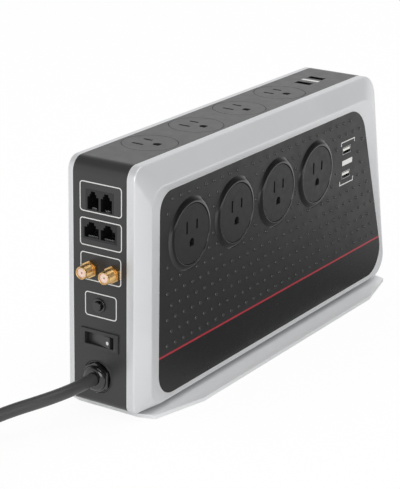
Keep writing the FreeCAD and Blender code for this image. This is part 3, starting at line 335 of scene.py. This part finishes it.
camera = put("camera", bpy.data.cameras.new("camera"))
bpy.context.scene.camera = camera
camera.data.sensor_width = 36.0
camera.data.lens = 132.72
camera.location = (-1.11899, -0.68523, 0.52669)
camera.rotation_euler = [math.radians(a) for a in (71.0619, -0.8510, -57.0346)]
camera.data.clip_start = 0.05
camera.data.clip_end = 60.0


# --- cord ----------------------------------------------------------------------

CORD = 9.2
CLEAR = 0.05  # gap under the cord and between the coil and the plug
DESK = CORD / 2 + CLEAR - BASE  # height of the cord's middle where it lies
GLAND_Y, GLAND_Z = 2.1, 21.8

# Route from the gland down to the desk, then along it to the coil.
route = [
    (-3.5, GLAND_Y, GLAND_Z),
    (-24.5, GLAND_Y, GLAND_Z),
    (-46.5, 10.4, 19.2),
    (-70.0, 29.7, 12.9),
    (-94.0, 47.0, 3.2),
    (-114.5, 59.8, DESK),
    (-125.3, 66.0, DESK),
]
COIL = 50.0  # radius of the coil
SPREAD = 0.4  # slack of its turns
PITCH = 9.4  # height of one turn
TURNS = 5
LEAVE = 81.0  # degrees round the last turn where the cord leaves it
LEAD = 32.0  # straight length before the coil
STEP = 20.0  # degrees between points of the coil
RISE = 80.0  # degrees over which a turn climbs
PLUG_THICK = 20.0
heading = math.atan2(route[-1][1] - route[-2][1], route[-1][0] - route[-2][0])
lead = np.array([math.cos(heading), math.sin(heading)])
middle = np.array(route[-1][:2]) + lead * LEAD + COIL * np.array([-lead[1], lead[0]])


def on_coil(angle, radius=COIL):
    """Point of the coil, anticlockwise from where the lead meets it: middle plus radius along the spoke."""
    spoke = heading - math.pi / 2 + math.radians(angle)
    return middle + radius * np.array([math.cos(spoke), math.sin(spoke)])


def turn_level(angle):
    """Height of a turn: flat, then up by one pitch over its last RISE degrees along a smooth step."""
    whole, part = divmod(angle, 360.0)
    t = min(max((part - 360.0 + RISE) / RISE, 0.0), 1.0)
    return DESK + PITCH * (whole + t * t * (3 - 2 * t))


line = [np.array(point, float) for point in route]
for angle in np.arange(0.0, 360.0 * TURNS + LEAVE, STEP):
    line.append(np.array([*on_coil(angle, COIL + SPREAD), turn_level(angle)]))
leave_way = heading + math.radians(LEAVE + 14.0)
plug_way = heading + math.radians(LEAVE + 38.0)
plug_level = CLEAR - BASE + PITCH * TURNS + PLUG_THICK / 2 + CLEAR
bend = on_coil(LEAVE) + 24.0 * np.array([math.cos(leave_way), math.sin(leave_way)])
tail = bend + 14.0 * np.array([math.cos(plug_way), math.sin(plug_way)])
line.append(np.array([*bend, plug_level - 0.6]))
line.append(np.array([*tail, plug_level]))
path = place(line) * MM
curve = bpy.data.curves.new("power_lead", "CURVE")
curve.dimensions = "3D"
curve.resolution_u = 8
curve.bevel_depth = CORD / 2 * MM
curve.bevel_resolution = 6
curve.use_fill_caps = True
spline = curve.splines.new("NURBS")
spline.points.add(len(path) - 1)
for point, spot in zip(spline.points, path):
    point.co = (*spot, 1.0)
spline.order_u = 3
spline.use_endpoint_u = True
curve.materials.append(jacket)
power_lead = put("power_lead", curve)
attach(power_lead, "casing")
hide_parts("power_cord", "cord_coil")


# --- plug ----------------------------------------------------------------------


def plug_shell():
    """Moulded plug: rounded-rectangle rings along the axis.

    Half width w(s) and half height h(s) go from the cord's radius through a
    ribbed tail to the grip, which pinches in at its middle; each ring is the
    superellipse |y/w|^n + |z/h|^n = 1 with n growing from 2 to 5.
    """
    s = np.linspace(0.0, 48.0, 97)
    swell = np.clip((s - 9.0) / 9.0, 0, 1)
    swell = swell * swell * (3 - 2 * swell)
    ribs = 0.55 * np.cos(s * 2 * math.pi / 3.0) * (s < 10.0)
    pinch = 1.3 * np.exp(-(((s - 33.0) / 6.0) ** 2))
    ends = np.sqrt(np.clip(1 - np.clip((s - 45.0) / 3.2, 0, 1) ** 2, 0.05, 1))
    wide = ((6.4 + ribs) * (1 - swell) + (12.9 - pinch) * swell) * (0.86 + 0.14 * ends)
    tall = ((6.4 + ribs) * (1 - swell) + (9.9 - 0.6 * pinch) * swell) * (0.86 + 0.14 * ends)
    power = 2.0 + 2.6 * swell
    a = np.linspace(0, 2 * math.pi, 64, endpoint=False)[None, :]
    n = power[:, None]
    y = wide[:, None] * np.sign(np.cos(a)) * np.abs(np.cos(a)) ** (2 / n)
    z = tall[:, None] * np.sign(np.sin(a)) * np.abs(np.sin(a)) ** (2 / n)
    along = np.array([math.cos(plug_way), math.sin(plug_way), 0.0])
    aside = np.array([-along[1], along[0], 0.0])
    start = place([*tail, plug_level])
    points = start + s[:, None, None] * along + y[..., None] * aside + z[..., None] * [0, 0, 1]
    rows, columns = y.shape
    faces = grid_faces(rows, columns).tolist()
    faces += [list(range(columns))[::-1], [(rows - 1) * columns + k for k in range(columns)]]
    return points.reshape(-1, 3), faces


moulded_plug = solid("moulded_plug", *plug_shell(), jacket, sharp=40)
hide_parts("plug_body")


# --- front bezel ---------------------------------------------------------------

ARC = 14  # points of a rounded corner
CREST_LEAN = 0.22  # lean of the right side at the bezel's crest
PANEL_LEAN = 0.333  # and at the panel's edge
CREST = 13.2  # how far the crest stands out from the casing
LIP = 6.2  # and the lip round it


def outline(left, bottom, top, right, lean, radii):
    """Closed outline of a four-sided plate whose right side leans.

    Each corner is an arc of its radius between the two sides' directions; the
    right side stands at right - lean * height.  Same number of points for any
    sizes, anticlockwise from the front, so outlines can be joined point to point.
    """
    corners = np.array(
        [(left, bottom), (right - lean * bottom, bottom), (right - lean * top, top), (left, top)], float
    )
    ring = []
    for i, corner in enumerate(corners):
        back = corners[i - 1] - corner
        ahead = corners[(i + 1) % 4] - corner
        back /= np.linalg.norm(back)
        ahead /= np.linalg.norm(ahead)
        half = math.acos(float(back @ ahead)) / 2
        inward = (back + ahead) / np.linalg.norm(back + ahead)
        centre = corner + inward * radii[i] / math.sin(half)
        start = corner + back * radii[i] / math.tan(half) - centre
        a0 = math.atan2(start[1], start[0])
        a = a0 + np.linspace(0, math.pi - 2 * half, ARC)
        ring.append(centre + radii[i] * np.stack([np.cos(a), np.sin(a)], 1))
    return np.concatenate(ring)


def at_depth(flat, depth):
    """A flat outline stood up at a depth."""
    return np.stack([flat[:, 0], np.full(len(flat), depth), flat[:, 1]], 1)


def case_ring(depth):
    """Casing outline at a depth."""
    return at_depth(outline(0.0, 0.0, HEIGHT, BOTTOM_LENGTH, LEAN, (5.0, 12.0, 22.0, 10.0)), depth)


def crest_ring(depth, inset=0.0):
    """Crest of the bezel: further in at the top and left than at the right and bottom."""
    flat = outline(
        11.5 + inset, 2.6 + inset, HEIGHT - 16.0 - inset, BOTTOM_LENGTH - 5.6 - inset, CREST_LEAN,
        [r - inset for r in (14.0, 16.0, 24.0, 14.0)],
    )
    return at_depth(flat, depth)


def panel_ring(depth, inset=0.0):
    """Edge of the panel's opening, moved inwards all round."""
    flat = outline(
        22.3 + inset, 5.4 + inset, HEIGHT - 22.0 - inset,
        BOTTOM_LENGTH - 5.4 - inset * math.hypot(1, PANEL_LEAN), PANEL_LEAN,
        [r - inset for r in (18.0, 20.0, 28.0, 14.0)],
    )
    return at_depth(flat, depth)


def rolled(rings, reaches, steps=5):
    """Rings with every marked one turned into a rounded edge.

    At a ring with a reach, the walls are cut back by that distance and joined
    by the quadratic curve whose control point is the ring itself.
    """
    out = []
    count = len(rings)
    for i, (ring, reach) in enumerate(zip(rings, reaches)):
        if not reach:
            out.append(ring)
            continue
        before = rings[i - 1] - ring
        after = rings[(i + 1) % count] - ring
        long_b = np.linalg.norm(before, axis=1)[:, None]
        long_a = np.linalg.norm(after, axis=1)[:, None]
        a = ring + before / long_b * np.minimum(reach, 0.45 * long_b)
        b = ring + after / long_a * np.minimum(reach, 0.45 * long_a)
        for t in np.linspace(0, 1, steps):
            out.append((1 - t) ** 2 * a + 2 * t * (1 - t) * ring + t * t * b)
    return out


def bezel():
    """Front bezel: rings from the casing over the lip and crest down to the panel, closed behind."""
    rings_and_reaches = [
        (case_ring(FRAME_JOINT), 0.3),
        (case_ring(FRAME_JOINT - LIP), 1.1),
        (crest_ring(FRAME_JOINT - CREST), 1.0),
        (crest_ring(FRAME_JOINT - CREST, 1.2), 0.7),
        (panel_ring(FRAME_JOINT - 12.1), 0.4),
        (panel_ring(FRAME_JOINT - 9.5), 0.0),
        (panel_ring(FRAME_JOINT - 9.5, 3.0), 0.3),
        (panel_ring(FRAME_JOINT - 0.1, 3.0), 0.3),
    ]
    points = place(np.stack(rolled(*zip(*rings_and_reaches))))
    rows, columns = points.shape[:2]
    faces = grid_faces(rows, columns, close_rows=True)
    return points.reshape(-1, 3), faces[:, ::-1]


front_bezel = solid("front_bezel", *bezel(), silver, sharp=50)
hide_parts("front_frame")


# --- panel dots ----------------------------------------------------------------

DOT_PITCH = 10.6  # between the dots of a row
DOT_ROW = 9.73  # between rows
DOT_ROWS = 12
DOT_COLUMNS = 33
DOT_SIDES = 10  # facets round one dot
FIRST_DOT = (32.0, 42.5)
PORTS_MIDDLE = (289.0, 116.3)
PORTS_CLEAR = (14.0, 20.5)  # half width and half height left free round the front ports
RING_CLEAR = 28.6  # radius left free round an outlet ring

collars = [sum(span(f"outlet_collar_{i}")) / 2 for i in (1, 2, 3, 4)]


def dot_centres():
    """Staggered lattice over the panel: rows DOT_ROW apart, alternate rows shifted half of DOT_PITCH.

    The lowest row runs above the line, and a dot stays where it lies inside the
    panel's edge and clear of the outlet rings and the USB prints.
    """
    row = np.arange(DOT_ROWS)[:, None]
    column = np.arange(-1, DOT_COLUMNS - 1)[None, :]
    x = FIRST_DOT[0] + DOT_PITCH * column - (row % 2) * DOT_PITCH / 2
    z = FIRST_DOT[1] + DOT_ROW * row + 0 * x
    spots = np.stack([x.ravel(), z.ravel()], 1)
    edge = panel_ring(0.0, 5.2)[:, [0, 2]]
    ahead = np.roll(edge, -1, axis=0) - edge
    gap = spots[:, None, :] - edge[None]
    keep = (ahead[None, :, 0] * gap[..., 1] - ahead[None, :, 1] * gap[..., 0] > 0).all(axis=1)
    for middle_x, _, middle_z in collars:
        keep = keep & (np.hypot(spots[:, 0] - middle_x, spots[:, 1] - middle_z) > RING_CLEAR)
    by_ports = (np.abs(spots - PORTS_MIDDLE) < PORTS_CLEAR).all(axis=1)
    return spots[keep & ~by_ports]


def dot_field(radius=1.35, height=0.85):
    """Low domes: ring k of a dot has radius r cos(t) and stands h sin(t) off the panel."""
    spots = dot_centres()
    t = np.radians([0.0, 28.0, 58.0])
    a = np.linspace(0, 2 * math.pi, DOT_SIDES, endpoint=False)
    ring_x = radius * np.cos(t)[:, None] * np.cos(a)
    ring_z = radius * np.cos(t)[:, None] * np.sin(a)
    ring_y = FACE - height * np.sin(t)[:, None] + 0 * ring_x
    one = np.concatenate([np.stack([ring_x, ring_y, ring_z], -1).reshape(-1, 3), [[0, FACE - height, 0]]])
    shift = np.stack([spots[:, 0], 0 * spots[:, 0], spots[:, 1]], 1)
    points = (shift[:, None, :] + one[None]).reshape(-1, 3)
    walls = grid_faces(len(t), DOT_SIDES)
    side = np.arange(DOT_SIDES)
    last = (len(t) - 1) * DOT_SIDES
    tip = np.stack([last + side, last + (side + 1) % DOT_SIDES, np.full(DOT_SIDES, last + DOT_SIDES)], 1)
    start = (np.arange(len(spots)) * len(one))[:, None, None]
    return points, (start + walls).reshape(-1, 4).tolist() + (start + tip).reshape(-1, 3).tolist()


dots, dot_faces = dot_field()
solid("panel_dots", place(dots), dot_faces, panel_dot)


# --- printed lines and port tongues --------------------------------------------


def rounded(wide, tall, radius, count=8):
    """Rounded rectangle about the origin, anticlockwise."""
    radius = max(radius, 0.05)
    a = np.linspace(0, math.pi / 2, count)
    ring = []
    for i, (sx, sy) in enumerate(((1, 1), (-1, 1), (-1, -1), (1, -1))):
        turn = a + i * math.pi / 2
        centre = [sx * (wide / 2 - radius), sy * (tall / 2 - radius)]
        ring.append(centre + radius * np.stack([np.cos(turn), np.sin(turn)], 1))
    return np.concatenate(ring)


def frame_print(across, up, line, radius):
    """Outline box of ink, line wide: outer and inner rounded rectangles at two heights.

    Returns u, v, h points and the faces, h being 0 on the surface and 1 on top of the ink.
    """
    middle_u, middle_v = sum(across) / 2, sum(up) / 2
    outer = rounded(across[1] - across[0], up[1] - up[0], radius)
    inner = rounded(across[1] - across[0] - 2 * line, up[1] - up[0] - 2 * line, radius - line)
    rings = [(outer, 0), (outer, 1), (inner, 1), (inner, 0)]
    points = [np.column_stack([r + [middle_u, middle_v], np.full(len(r), h)]) for r, h in rings]
    return np.concatenate(points), grid_faces(4, len(outer), close_rows=True)


def bar_print(across, up, radius=0.2):
    """Filled bar of ink: one rounded rectangle at two heights with a face on top."""
    ring = rounded(across[1] - across[0], up[1] - up[0], radius) + [sum(across) / 2, sum(up) / 2]
    points = np.concatenate([np.column_stack([ring, np.full(len(ring), h)]) for h in (0, 1)])
    return points, grid_faces(2, len(ring)).tolist() + [list(range(len(ring), 2 * len(ring)))]


def joined(pieces):
    """Points and faces of several pieces as one mesh."""
    points, faces, count = [], [], 0
    for spots, polygons in pieces:
        points.append(spots)
        faces += [[k + count for k in polygon] for polygon in polygons]
        count += len(spots)
    return np.concatenate(points), faces


def printed(name, prints, basis, body="casing"):
    """One mesh from several prints; basis turns u, v, h into x, y, z."""
    points, faces = joined(prints)
    return solid(name, place(basis(points)), faces, ink, body, smooth=False)


THIN_INK = 0.01  # on the top of the casing; on the top, which is as high as the object may be
SIDE_LINE = 0.75  # width of the boxes' line
SIDE_CORNER = 2.6
# Boxes round the phone jacks, network jacks, coaxial jacks and reset button:
# low and high in depth, then low and high in height.
SIDE_BOXES = [
    ((-18.5, 16.7), (141.8, 163.4)),
    ((-18.5, 16.7), (117.3, 137.5)),
    ((-18.0, 16.4), (92.4, 112.7)),
    ((-14.2, 12.7), (66.4, 84.2)),
]
printed(
    "side_outlines",
    [frame_print(across, up, SIDE_LINE, SIDE_CORNER) for across, up in SIDE_BOXES],
    lambda p: np.column_stack([-INK * p[:, 2], p[:, 0], p[:, 1]]),
)
printed(
    "front_prints",
    [
        # the bar between the ports, then the open brackets over and under them
        bar_print((281.0, 297.5), (114.2, 118.3)),
        bar_print((278.0, 300.5), (133.4, 134.2)),
        bar_print((278.0, 278.8), (130.8, 133.5)),
        bar_print((299.7, 300.5), (130.8, 133.5)),
        bar_print((277.6, 300.0), (98.2, 99.0)),
        bar_print((277.6, 278.4), (98.9, 102.0)),
        bar_print((299.2, 300.0), (98.9, 102.0)),
    ],
    lambda p: np.column_stack([p[:, 0], FACE - INK * p[:, 2], p[:, 1]]),
)
printed(
    "top_print",
    [bar_print((284.5, 288.0), (-7.5, 7.6))],
    lambda p: np.column_stack([p[:, 0], p[:, 1], HEIGHT + THIN_INK * p[:, 2]]),
)


def tongues(name, node, shape):
    """Port tongues: one bar with softened corners per port, standing where the CAD tongues stand.

    The node's points are split halfway along their widest direction, which gives
    each tongue's low and high corner; shape makes a tongue from the two.
    """
    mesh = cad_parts[node].data
    spots = np.empty(len(mesh.vertices) * 3)
    mesh.vertices.foreach_get("co", spots)
    spots = spots.reshape(-1, 3) / MM - [LEFT, 0, BASE]
    axis = int(np.argmax(np.ptp(spots, axis=0)))
    cut = (spots[:, axis].min() + spots[:, axis].max()) / 2
    halves = (spots[spots[:, axis] < cut], spots[spots[:, axis] >= cut])
    points, faces = joined([shape(half.min(axis=0), half.max(axis=0)) for half in halves])
    piece = solid(name, place(points), faces, ivory, smooth=False)
    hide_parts(node)


TONGUE_BACK = 0.5  # how far a front tongue's tip stays behind the panel's face


def front_tongue(low, high):
    """A front tongue, from its CAD root out to just inside the port's mouth."""
    points, faces = bar_print((low[0], high[0]), (low[2], high[2]), 0.35)
    depth = np.where(points[:, 2] > 0, min(low[1], FACE + TONGUE_BACK), high[1])
    return np.column_stack([points[:, 0], depth, points[:, 1]]), faces


tongues("front_tongues", "usb_tongues_front", front_tongue)


# --- turned pieces -------------------------------------------------------------


def lathe(profile, count, waves=None):
    """Surface of revolution: profile rows are (along, radius); waves adds to the radius."""
    along, radius = np.array(profile, float).T
    a = np.linspace(0, 2 * math.pi, count, endpoint=False)[None, :]
    r = radius[:, None] + (waves(along[:, None], a) if waves else 0 * a)
    return np.stack([along[:, None] + 0 * r, r * np.cos(a), r * np.sin(a)], -1)


def ring_profile():
    """Half section of an outlet ring: straight bore, narrow lip, barely bulged cone down to the panel."""
    bore, proud, sunk = 22.2, 2.1, 2.5
    start, end = bore + 0.6, 26.8
    lip = [(sunk, bore), (0.35 - proud, bore), (0.1 - proud, bore + 0.12), (-proud, bore + 0.35)]
    flank = [
        (-proud + 1.95 * t - 0.35 * math.sin(math.pi * t), start + (end - start) * t)
        for t in np.linspace(0.0, 1.0, 12)
    ]
    foot = [(0.0, 27.0), (0.0, 24.4), (sunk, 24.4)]
    return lip + flank + foot


for i, (middle_x, _, middle_z) in enumerate(collars, 1):
    turned = lathe(ring_profile(), 96)
    points = np.stack([middle_x + turned[..., 1], FACE + turned[..., 0], middle_z + turned[..., 2]], -1)
    faces = grid_faces(*turned.shape[:2], close_rows=True)
    ring_piece = solid(f"outlet_ring_{i}", place(points.reshape(-1, 3)), faces, ring_black, sharp=35)
    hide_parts(f"outlet_collar_{i}")

THREAD_PITCH = 0.794  # 32 threads to the inch
THREAD_DEPTH = 0.28
BARREL = 4.56  # mean radius of the thread


def thread(along, a):
    """Thread of the barrel: a V wave that climbs one pitch per turn and fades at both ends."""
    phase = (along / THREAD_PITCH - a / (2 * math.pi)) % 1.0
    fade = np.clip((along - 0.7) / 0.5, 0, 1) * np.clip((8.6 - along) / 0.6, 0, 1)
    return THREAD_DEPTH * (np.abs(2 * phase - 1) - 0.5) * fade


def jack_profile():
    """Half section of a jack from the bottom of its mouth, over the tip, to the shoulder inside."""
    mouth = [(3.0, 0.01), (3.0, 3.55), (0.5, 3.55), (0.12, 3.7), (0.0, 3.95)]
    tip = [(0.0, 4.2), (0.12, 4.36), (0.5, BARREL)]
    barrel = [(s, BARREL) for s in np.arange(0.6, 9.0, 0.099)]
    body = [(9.1, 4.4), (14.6, 4.4), (14.6, 6.5), (24.5, 6.5), (24.5, 0.01)]
    return mouth + tip + barrel + body


INSERT_PROFILE = [(2.9, 3.5), (0.9, 3.5), (0.75, 3.3), (0.75, 1.2), (1.0, 0.75), (2.9, 0.75)]

for i in (1, 2):
    low, high = span(f"coax_jack_{i}")
    mouth_middle = (low[0], (low[1] + high[1]) / 2, (low[2] + high[2]) / 2)
    turned = lathe(jack_profile(), 48, thread)
    faces = grid_faces(*turned.shape[:2])
    points = place(turned.reshape(-1, 3), *mouth_middle)
    jack = solid(f"threaded_jack_{i}", points, faces, gold, sharp=50)
    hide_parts(f"coax_jack_{i}")
    core = lathe(INSERT_PROFILE, 40)
    faces = grid_faces(*core.shape[:2], close_rows=True)
    core_points = place(core.reshape(-1, 3), *mouth_middle)
    solid(f"jack_insert_{i}", core_points, faces, insulator, sharp=50)


def compression_nut(flat=10.2, corner=11.5):
    """Gland nut along x: a hexagon drawn round to a dome that grips the cord.

    The hexagon is r(a) = flat / cos(a), a within 30 degrees of a flat's middle,
    cut off at the corner radius.  Each row is (x, share, radius): share of the
    hexagon against a circle of that radius, scaled where both are given.
    """
    a = np.linspace(0, 2 * math.pi, 96, endpoint=False)
    hexagon = np.minimum(flat / np.cos((a + math.pi / 6) % (math.pi / 3) - math.pi / 6), corner)
    rows = [
        (5.0, 0.0, 4.75), (5.0, 1.0, -0.4), (4.6, 1.0, 0.0), (-2.4, 1.0, 0.0), (-3.0, 1.0, -0.5),
        (-3.1, 0.0, 9.4), (-4.4, 0.0, 9.2), (-5.5, 0.0, 8.3), (-6.2, 0.0, 7.0), (-6.4, 0.0, 5.6),
        (-6.3, 0.0, 4.75),
    ]
    x, share, radius = [np.array(column)[:, None] for column in zip(*rows)]
    r = share * hexagon + radius
    points = np.stack([x + 0 * r, r * np.cos(a), r * np.sin(a)], -1)
    return points.reshape(-1, 3), grid_faces(len(rows), len(a), close_rows=True)


nut_points, nut_faces = compression_nut()
nut_piece = solid(
    "compression_nut", place(nut_points, 0.0, GLAND_Y, GLAND_Z), nut_faces, ring_black, sharp=32
)
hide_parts("gland_nut")


# --- rocker mark ---------------------------------------------------------------

ROCKER_TILT = math.radians(-12.0)
ROCKER_PIVOT = (6.0, 0.1, 49.9)
ROCKER_FACE = -5.6  # of the pivot


def on_rocker(p):
    """Mark on the rocker's face, turned with the rocker about its upright pivot."""
    x = ROCKER_FACE - INK * p[:, 2]
    y = p[:, 0]
    turned_x = x * math.cos(ROCKER_TILT) - y * math.sin(ROCKER_TILT)
    turned_y = x * math.sin(ROCKER_TILT) + y * math.cos(ROCKER_TILT)
    return np.column_stack([turned_x, turned_y, p[:, 1]]) + ROCKER_PIVOT


mark = bar_print((-9.8, -7.2), (-1.9, 0.7), 1.29)
printed("rocker_mark", [mark], on_rocker, "rocker_key")


# --- eased copies --------------------------------------------------------------

eased("bezel_eased", "switch_bezel", casing_black, 0.5)
eased("rocker_eased", "rocker", casing_black, 0.5, body="rocker_key")
eased("bushing_eased", "reset_bushing", ring_black, 0.35)
eased("button_eased", "reset_button", ring_black, 0.45, 3, body="reset_key")
eased("cup_eased", "gland_cup", casing_black, 0.6, 3)
eased("gland_eased", "gland_body", ring_black, 0.5)
eased("foot_eased", "stand_foot", silver_painted_lit_foot, 0.5, 3)


# --- stage ---------------------------------------------------------------------

# White paper.  The camera sees an even glow over a little plain chalk, which
# keeps a faint shadow, and matt pieces get only the chalk's bounce.  Glossy
# pieces see a floor that is bright at the left, dim under the object and
# fairly bright again at the right.
PAPER_GLOW = 0.93
PAPER_HALF = 6  # metres
paper = blank("white_paper_sweep")
seen = add(paper, "ShaderNodeLightPath")
glow = add(paper, "ShaderNodeEmission", Strength=1.0)
chalk = add(paper, "ShaderNodeBsdfDiffuse", Color=tone("f2f2f2"))
to_eye = add(paper, "ShaderNodeMath", {0: seen.outputs["Is Camera Ray"]}, operation="MULTIPLY")
to_eye.inputs[1].default_value = PAPER_GLOW
across = add(paper, "ShaderNodeSeparateXYZ", {"Vector": add(paper, "ShaderNodeTexCoord").outputs["Object"]})
dimmed = add(
    paper, "ShaderNodeMapRange", {"Value": across.outputs["X"]},
    interpolation_type="SMOOTHSTEP", From_Min=-0.24, From_Max=-0.02, To_Min=1.0, To_Max=0.24,
)
raised = add(
    paper, "ShaderNodeMapRange", {"Value": across.outputs["X"]},
    interpolation_type="SMOOTHSTEP", From_Min=0.12, From_Max=0.45, To_Min=0.0, To_Max=0.72,
)
shade = add(paper, "ShaderNodeMath", {0: dimmed.outputs[0], 1: raised.outputs[0]}, operation="ADD")
mirrored = add(
    paper, "ShaderNodeMix",
    {"Factor": seen.outputs["Is Glossy Ray"], "A": to_eye.outputs[0], "B": shade.outputs[0]},
)
black = add(paper, "ShaderNodeEmission", Strength=0.0)
matt = add(
    paper, "ShaderNodeMixShader",
    {0: seen.outputs["Is Glossy Ray"], 1: chalk.outputs[0], 2: black.outputs[0]},
)
blend = add(paper, "ShaderNodeMixShader", {0: mirrored.outputs[0], 1: matt.outputs[0], 2: glow.outputs[0]})
add(paper, "ShaderNodeOutputMaterial", {"Surface": blend.outputs[0]})
desk_mesh = bpy.data.meshes.new("desk_sweep")
desk_corners = [(x * PAPER_HALF, y * PAPER_HALF, 0) for x, y in ((-1, -1), (1, -1), (1, 1), (-1, 1))]
desk_mesh.from_pydata(desk_corners, [], [(0, 1, 2, 3)])
desk_mesh.materials.append(paper)
desk = put("desk_sweep", desk_mesh)

# White tent: plain white for the camera, an even fill on matt surfaces, and for
# glossy pieces a tent with a dark flag at the front right and a dark roof.
FLAG_WAY = (0.50, -0.84, 0.21)
world = bpy.data.worlds.new("studio_white")
bpy.context.scene.world = world
world.use_nodes = True
world.node_tree.nodes.clear()
light_path = add(world, "ShaderNodeLightPath")
tent = add(world, "ShaderNodeBackground", Color=(1, 1, 1, 1), Strength=1.0)
fill = add(world, "ShaderNodeBackground", Color=(1, 1, 1, 1), Strength=0.8)
direct = add(
    world, "ShaderNodeMath",
    {0: light_path.outputs["Is Camera Ray"], 1: light_path.outputs["Is Glossy Ray"]}, operation="MAXIMUM",
)
way = add(world, "ShaderNodeTexCoord").outputs["Generated"]
toward = add(world, "ShaderNodeVectorMath", {0: way}, operation="DOT_PRODUCT")
toward.inputs[1].default_value = FLAG_WAY
flagged = add(
    world, "ShaderNodeMapRange", {"Value": toward.outputs["Value"]},
    interpolation_type="SMOOTHSTEP", From_Min=0.55, From_Max=0.95, To_Min=1.0, To_Max=0.15,
)
level = add(world, "ShaderNodeSeparateXYZ", {"Vector": way})
roof = add(
    world, "ShaderNodeMapRange", {"Value": level.outputs["Z"]},
    interpolation_type="SMOOTHSTEP", From_Min=0.40, From_Max=0.75, To_Min=0.82, To_Max=0.08,
)
open_sides = add(world, "ShaderNodeMath", {0: flagged.outputs[0], 1: roof.outputs[0]}, operation="MULTIPLY")
lit = add(
    world, "ShaderNodeMix",
    {"Factor": light_path.outputs["Is Camera Ray"], "A": open_sides.outputs[0]}, B=1.0,
)
world.node_tree.links.new(lit.outputs[0], tent.inputs["Strength"])
choose = add(world, "ShaderNodeMixShader", {0: direct.outputs[0], 1: fill.outputs[0], 2: tent.outputs[0]})
add(world, "ShaderNodeOutputWorld", {"Surface": choose.outputs[0]})


OBJECT_MIDDLE = (0, 0, 0.08)


def lamp(name, stand, wide, tall, power, mirrored=True):
    """A rectangular softbox that points at the object; mirrored False keeps it out of reflections."""
    data = bpy.data.lights.new(name, "AREA")
    data.shape = "RECTANGLE"
    data.size = wide
    data.size_y = tall
    data.energy = power
    box = put(name, data)
    box.visible_glossy = mirrored
    box.location = stand
    box.rotation_euler = (Vector(OBJECT_MIDDLE) - Vector(stand)).to_track_quat("-Z", "Y").to_euler()


lamp("right_softbox", (2.20, -0.50, 0.34), 1.0, 0.5, 5, mirrored=False)
lamp("left_softbox", (-2.0, -0.9, 0.9), 1.4, 1.2, 14)
lamp("top_softbox", (0.1, -0.5, 2.1), 2.0, 1.4, 13)
bpy.context.scene.view_settings.view_transform = "Standard"
